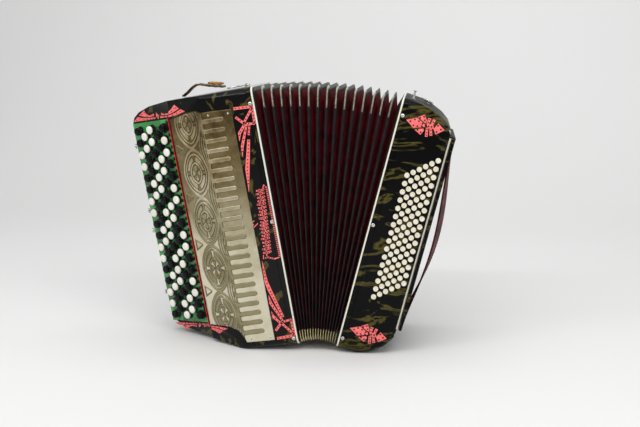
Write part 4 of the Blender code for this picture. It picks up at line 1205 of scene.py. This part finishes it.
CROSS_SECTION = [(0, 0.2), (1.0, 1.15), (4, 1.45), (5, 1.2), (6, 1.45), (20, 1.5), (36, 1.5), (52, 1.5),
                 (66, 1.45), (67, 1.2), (68, 1.45), (71, 1.15), (72, 0.2)]
bm = bmesh.new()
loops = []
for step in range(STRAP_STEPS + 1):
    t = step / STRAP_STEPS
    upper = [strap_point(t, STRAP_FRONT - width, rise) for width, rise in CROSS_SECTION]
    lower = [strap_point(t, STRAP_FRONT - width, -rise * 0.9) for width, rise in reversed(CROSS_SECTION)]
    loops.append(upper + lower)
skin(bm, loops, capped=True)
around = len(loops[0])
edge_faces = (0, 1, 10, 11, 12, 13, 14, 23, 24, 25)
for index, face in enumerate(bm.faces):
    if index < around * STRAP_STEPS and index % around in edge_faces:
        face.material_index = 1
make_piece("hand_strap", bm, [red_hide, dark_edge_hide], "bass_half",
           ["bass_hand_strap"], sharp=60)
bm = bmesh.new()
for side_line in (STRAP_FRONT - 5, STRAP_BACK + 5):
    for number in range(STITCHES):
        t = 0.02 + 0.96 * number / (STITCHES - 1)
        ends = [strap_point(t, side_line, 1.25), strap_point(t + 0.009, side_line, 1.25)]
        way = ends[1] - ends[0]
        lathe(bm, ends[0], way, [(0.2, 0), (0.45, 0.6), (0.45, 2.2), (0.2, 2.8)], 6)
make_piece("hand_strap_stitches", bm, [linen_thread], "bass_half", sharp=60)
print("strap stitches:", 2 * STITCHES)

# %% [markdown]
# ## Turned metal fittings
# Pins, studs, feet and knobs were all turned on a lathe, so each is drawn as half of its outline
# and spun. The strap wheel is knurled, which a wave in its radius gives.

# %% Spin the small fittings
PIN = [(3.3, -0.4), (3.4, 0.3), (3.1, 1.1), (2.3, 1.8), (1.1, 2.2), (0.3, 2.25)]
EDGE_STUD = [(2.2, 0.1), (2.2, 2.0), (4.0, 2.4), (4.3, 3.2), (4.2, 4.4), (3.3, 5.2), (1.6, 5.6),
             (0.4, 5.65)]
FOOT = [(5.0, -0.4), (5.0, 1.4), (4.6, 2.0), (3.6, 2.35), (1.0, 2.3)]
PIN_LEVELS = {"treble": (398.0, 208.0, 13.0), "bass": (390.0, 212.0, 19.0)}
STUD_LEVELS = (356.6, 243.8, 208.9, 98.1)
FOOT_FRONTS = (-52, -100)
for side, levels in PIN_LEVELS.items():
    for number, level in enumerate(levels, 1):
        turned_piece(f"{side}_round_pin_{number}", chrome, side + "_half",
                     f"{side}_frame_pin_{number}", place(side, 7.0, 0.3, level),
                     direction(side, 0, 1, 0), PIN)
for number, level in enumerate(STUD_LEVELS, 1):
    turned_piece(f"keyboard_stud_{number}", chrome, "treble_half",
                 f"keyboard_edge_stud_{number}", place("treble", 231.8, -104, level),
                 direction("treble", 1, 0, 0), EDGE_STUD)
for number, front in enumerate(FOOT_FRONTS, 1):
    turned_piece(f"turned_foot_{number}", chrome, "treble_half", f"treble_foot_{number}",
                 place("treble", 128, front, 13.9), direction("treble", 0, 0, -1), FOOT, 24)
print("pins, studs and feet:", 6 + len(STUD_LEVELS) + len(FOOT_FRONTS))

# %% Knurl the strap wheel, and turn the air button, the hook's stud and the grille's screws
WHEEL = [(2.5, 0.6), (2.5, 2.1), (7.4, 2.2), (8.0, 2.9), (8.0, 5.4), (7.2, 6.2), (2.4, 6.3),
         (2.0, 5.9), (0.5, 5.9)]
WHEEL_STEPS = 48
RIM_RINGS = (3, 4)
KNURL = 0.94
wheel_way = direction("bass", 0.254, 0, 0.967)
wheel_foot = place("bass", 40.6, -93, 411.3)
bm = bmesh.new()
lathe(bm, wheel_foot, wheel_way, WHEEL, WHEEL_STEPS)
for index, corner in enumerate(bm.verts):
    if index // WHEEL_STEPS in RIM_RINGS and index % 2:
        middle = wheel_foot + wheel_way * (corner.co - wheel_foot).dot(wheel_way)
        corner.co = middle + (corner.co - middle) * KNURL
make_piece("knurled_strap_wheel", bm, [chrome], "thumbwheel", ["strap_thumbwheel"], sharp=30)
turned_piece("air_release_button", black_casein, "air_valve", "air_button",
             place("bass", 80, -7, 364), front_way,
             [(3.7, 0), (3.7, 9.2), (3.4, 10.0), (2.6, 10.4), (0.5, 10.45)])
turned_piece("hook_stud", chrome, "bass_half", "bellows_hook_stud",
             place("bass", 16, -40, HEIGHT - BASS_DROP + 0.1), direction("bass", 0, 0, 1),
             [(3.5, 0), (3.5, 0.6), (1.7, 1.0), (1.6, 12.0), (2.7, 12.4), (3.0, 12.9), (2.0, 13.4),
              (0.4, 13.4)])
bm = bmesh.new()
for out, up in ((44, 20.5), (76, 21.5), (44, 389), (76, 391)):
    lathe(bm, place("treble", out, 0.9, up), direction("treble", 0, 1, 0),
          [(1.7, 0), (1.7, 0.5), (1.2, 0.9), (0.3, 1.0)], 12)
make_piece("grille_screws", bm, [chrome], "treble_half", sharp=50)
print("wheel knurls:", WHEEL_STEPS // 2)

# %% [markdown]
# ## Bellows hook
# A bent steel wire hook, 2.2 mm thick, swings on a post and holds the closed bellows. A tube is
# swept along its curly line: each ring of points stands square to the line where it is.

# %% Sweep the hook
WIRE_STEPS = 10


def sweep(bm, line, radius):
    """Sweep a round wire along a line of world points, with closed ends."""
    loops = []
    for i, here in enumerate(line):
        run = (line[min(i + 1, len(line) - 1)] - line[max(i - 1, 0)]).normalized()
        side_way = run.cross(Vector((0.1, 0.2, 1))).normalized()
        up_way = side_way.cross(run)
        turns = [2 * math.pi * k / WIRE_STEPS for k in range(WIRE_STEPS)]
        loops.append([here + (side_way * math.cos(turn) + up_way * math.sin(turn)) * radius * MM
                      for turn in turns])
    skin(bm, loops, capped=True)


def smooth_line(corners, pieces):
    """Return a rounder line through corner points, by Catmull and Rom's rule."""
    padded = [corners[0]] + list(corners) + [corners[-1]]
    line = []
    for a, b, c, d in zip(padded, padded[1:], padded[2:], padded[3:]):
        for k in range(pieces):
            t = k / pieces
            line.append(0.5 * ((2 * b) + (c - a) * t + (2 * a - 5 * b + 4 * c - d) * t * t
                               + (3 * b - a - 3 * c + d) * t ** 3))
    return line + [corners[-1]]


HOOK_RADIUS = 1.1
hook_line = [(14 - 4.2 * math.cos(0.9 * k), -40 - 4.2 * math.sin(0.9 * k)) for k in range(5)]
hook_line = hook_line[::-1] + [(11, -35.6), (18, -36.4), (26, -39), (34, -39.4), (40, -36), (45, -37.6),
                               (45.4, -42), (42.6, -43.4)]
corners = [place("treble", out, front, HEIGHT + 3.2) for out, front in hook_line]
bm = bmesh.new()
sweep(bm, smooth_line(corners, 4), HOOK_RADIUS)
make_piece("wire_hook", bm, [chrome], "hook", ["bellows_hook"], sharp=60)
turned_piece("hook_post", chrome, "treble_half", "bellows_hook_post",
             place("treble", 14, -40, HEIGHT + 0.3), direction("treble", 0, 0, 1),
             [(4.5, 0), (4.5, 0.7), (3.6, 1.1), (2.0, 1.2), (2.0, 4.6), (2.5, 4.8), (2.2, 5.3), (0.4, 5.4)])
print("hook wire", 2 * HOOK_RADIUS, "mm thick")

# %% [markdown]
# ## Shoulder strap's end
# On top of the treble case lies the stub of a shoulder strap: cracked brown hide that arches off
# the case, under an old brass buckle with its prong. The hide is skinned from wavy cross-sections,
# and the buckle is swept wire.

# %% Skin the strap stub and sweep its buckle
random.seed(7)
STUB_ROUTE = ((62, 430.5), (70, 432), (80, 434.4), (90, 437), (100, 440.3), (110, 440.3), (118, 436),
              (126, 430.4), (133, 426.8))
stub_line = smooth_line([Vector(p) for p in STUB_ROUTE], 6)
bm = bmesh.new()
loops = []
for out, up in stub_line:
    wave = 0.6 * math.sin(out * 0.6)
    ring = [(-81.2, 0), (-82.4, 1.4), (-86, 1.7 + wave), (-93, 1.8), (-100, 1.7 - wave), (-103.6, 1.4),
            (-104.8, 0)]
    under = [(front, -rise * 0.85) for front, rise in reversed(ring[1:-1])]
    loops.append([place("treble", out, front, up + rise + random.uniform(-0.12, 0.12))
                  for front, rise in ring + under])
skin(bm, loops, capped=True)
make_piece("shoulder_strap_stub", bm, [brown_hide], "treble_half", ["shoulder_strap"],
           sharp=60)

bm = bmesh.new()
buckle = [(65.4, -79.6), (65.4, -106.4), (85, -106.4), (85, -79.6)]
loop = [place("treble", out, front, 435.6 + 5.4 * (out - 64.4) / 22) for out, front in buckle]
rounded = []
for i, corner in enumerate(loop):
    back = (loop[i - 1] - corner).normalized()
    onward = (loop[(i + 1) % 4] - corner).normalized()
    rounded += [corner + back * 0.004, corner + back * 0.0012 + onward * 0.0012, corner + onward * 0.004]
sweep(bm, rounded + rounded[:2], 1.7)
prong = [place("treble", out, -93, level) for out, level in ((85, 441.2), (76, 439.4), (65.4, 436.4))]
sweep(bm, prong, 0.9)
make_piece("old_buckle", bm, [old_brass], "treble_half", ["strap_buckle"], sharp=60)
print("strap stub cross-sections:", len(stub_line))

# %% [markdown]
# ## Parts inside the cases
# The reed blocks, soundboards, levers and pallets keep their measured shapes, because they are
# plain planed wood and plated metal. They only need their finishes. The closing plate of the bass
# case is covered with the same celluloid as the case.

# %% Finish the measured parts that stay
for name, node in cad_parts.items():
    if "soundboard" in name or "reed_block" in name:
        finish = spruce
    elif "lever" in name or "pallet" in name or "rack" in name:
        finish = zinc
    elif name == "bass_end_plate":
        finish = bass_celluloid
    else:
        continue
    node.data.materials.clear()
    node.data.materials.append(finish)
    print(name, "is", finish.name)

# %% [markdown]
# ## Studio
# The instrument stands on a seamless pale sweep. A very large soft box hangs overhead, so the
# shadow is only a faint pool under the cases. A long thin strip box gives the lacquer and the
# chrome their bright lines, a box at each side fills the fronts, and one more lights the backdrop.

# %% Sweep, soft boxes and sky
paper, tree, shader, spot = new_finish("white_paper_sweep", 0.75, {})
mottle = add(tree, "ShaderNodeTexNoise", {"Scale": 0.6, "Detail": 1.0}, {"Vector": spot})
pale = ramp(tree, mottle.outputs["Fac"], [(0.3, "#E4E4E3"), (0.7, "#EAEAE9")])
tree.links.new(pale, shader.inputs["Base Color"])
SWEEP_START, SWEEP_RADIUS = 1.0, 1.2
profile = [(-4.0, 0.0), (SWEEP_START, 0.0)]
for angle in range(6, 91, 6):
    turn = math.radians(angle)
    profile.append((SWEEP_START + SWEEP_RADIUS * math.sin(turn), SWEEP_RADIUS * (1 - math.cos(turn))))
profile += [(SWEEP_START + SWEEP_RADIUS, 5.0)]
bm = bmesh.new()
skin(bm, [[Vector((x, y, z)) for y, z in profile] for x in (-5.0, 5.0)], False)
sweep_mesh = bpy.data.meshes.new("paper_sweep")
bm.to_mesh(sweep_mesh)
bm.free()
sweep_mesh.materials.append(paper)
sweep_mesh.shade_smooth()
paper_sweep = bpy.data.objects.new("paper_sweep", sweep_mesh)
scene.collection.objects.link(paper_sweep)


def soft_box(name, location, target, size, power):
    """Hang a rectangular soft box that faces a point."""
    light = bpy.data.lights.new(name, "AREA")
    light.shape = "RECTANGLE"
    light.size, light.size_y = size
    light.energy = power
    lamp = bpy.data.objects.new(name, light)
    lamp.location = location
    lamp.rotation_euler = (Vector(target) - Vector(location)).to_track_quat("-Z", "Y").to_euler()
    scene.collection.objects.link(lamp)


SOFT_BOXES = {
    "overhead_box": ((0.1, -0.3, 2.3), (0.0, 0.1, 0.2), (2.4, 1.6), 12),
    "long_strip_box": ((0.0, -1.2, 1.7), (0.0, 0.0, 0.3), (2.4, 0.1), 17),
    "right_box": ((1.9, -1.5, 1.3), (0.0, 0.0, 0.25), (0.9, 1.3), 11),
    "backdrop_box": ((0.6, 0.4, 2.6), (0.3, 2.2, 0.9), (2.4, 0.8), 16),
    "left_box": ((-1.8, -1.3, 1.2), (0.0, 0.0, 0.25), (0.7, 1.1), 8),
}
for name, (location, target, size, power) in SOFT_BOXES.items():
    soft_box(name, location, target, size, power)
sky = bpy.data.worlds.new("studio_air")
sky.use_nodes = True
sky.node_tree.nodes["Background"].inputs["Color"].default_value = colour("#F2F3F4")
sky.node_tree.nodes["Background"].inputs["Strength"].default_value = 0.46
scene.world = sky
scene.view_settings.view_transform = "Standard"
print("soft boxes:", len(SOFT_BOXES))
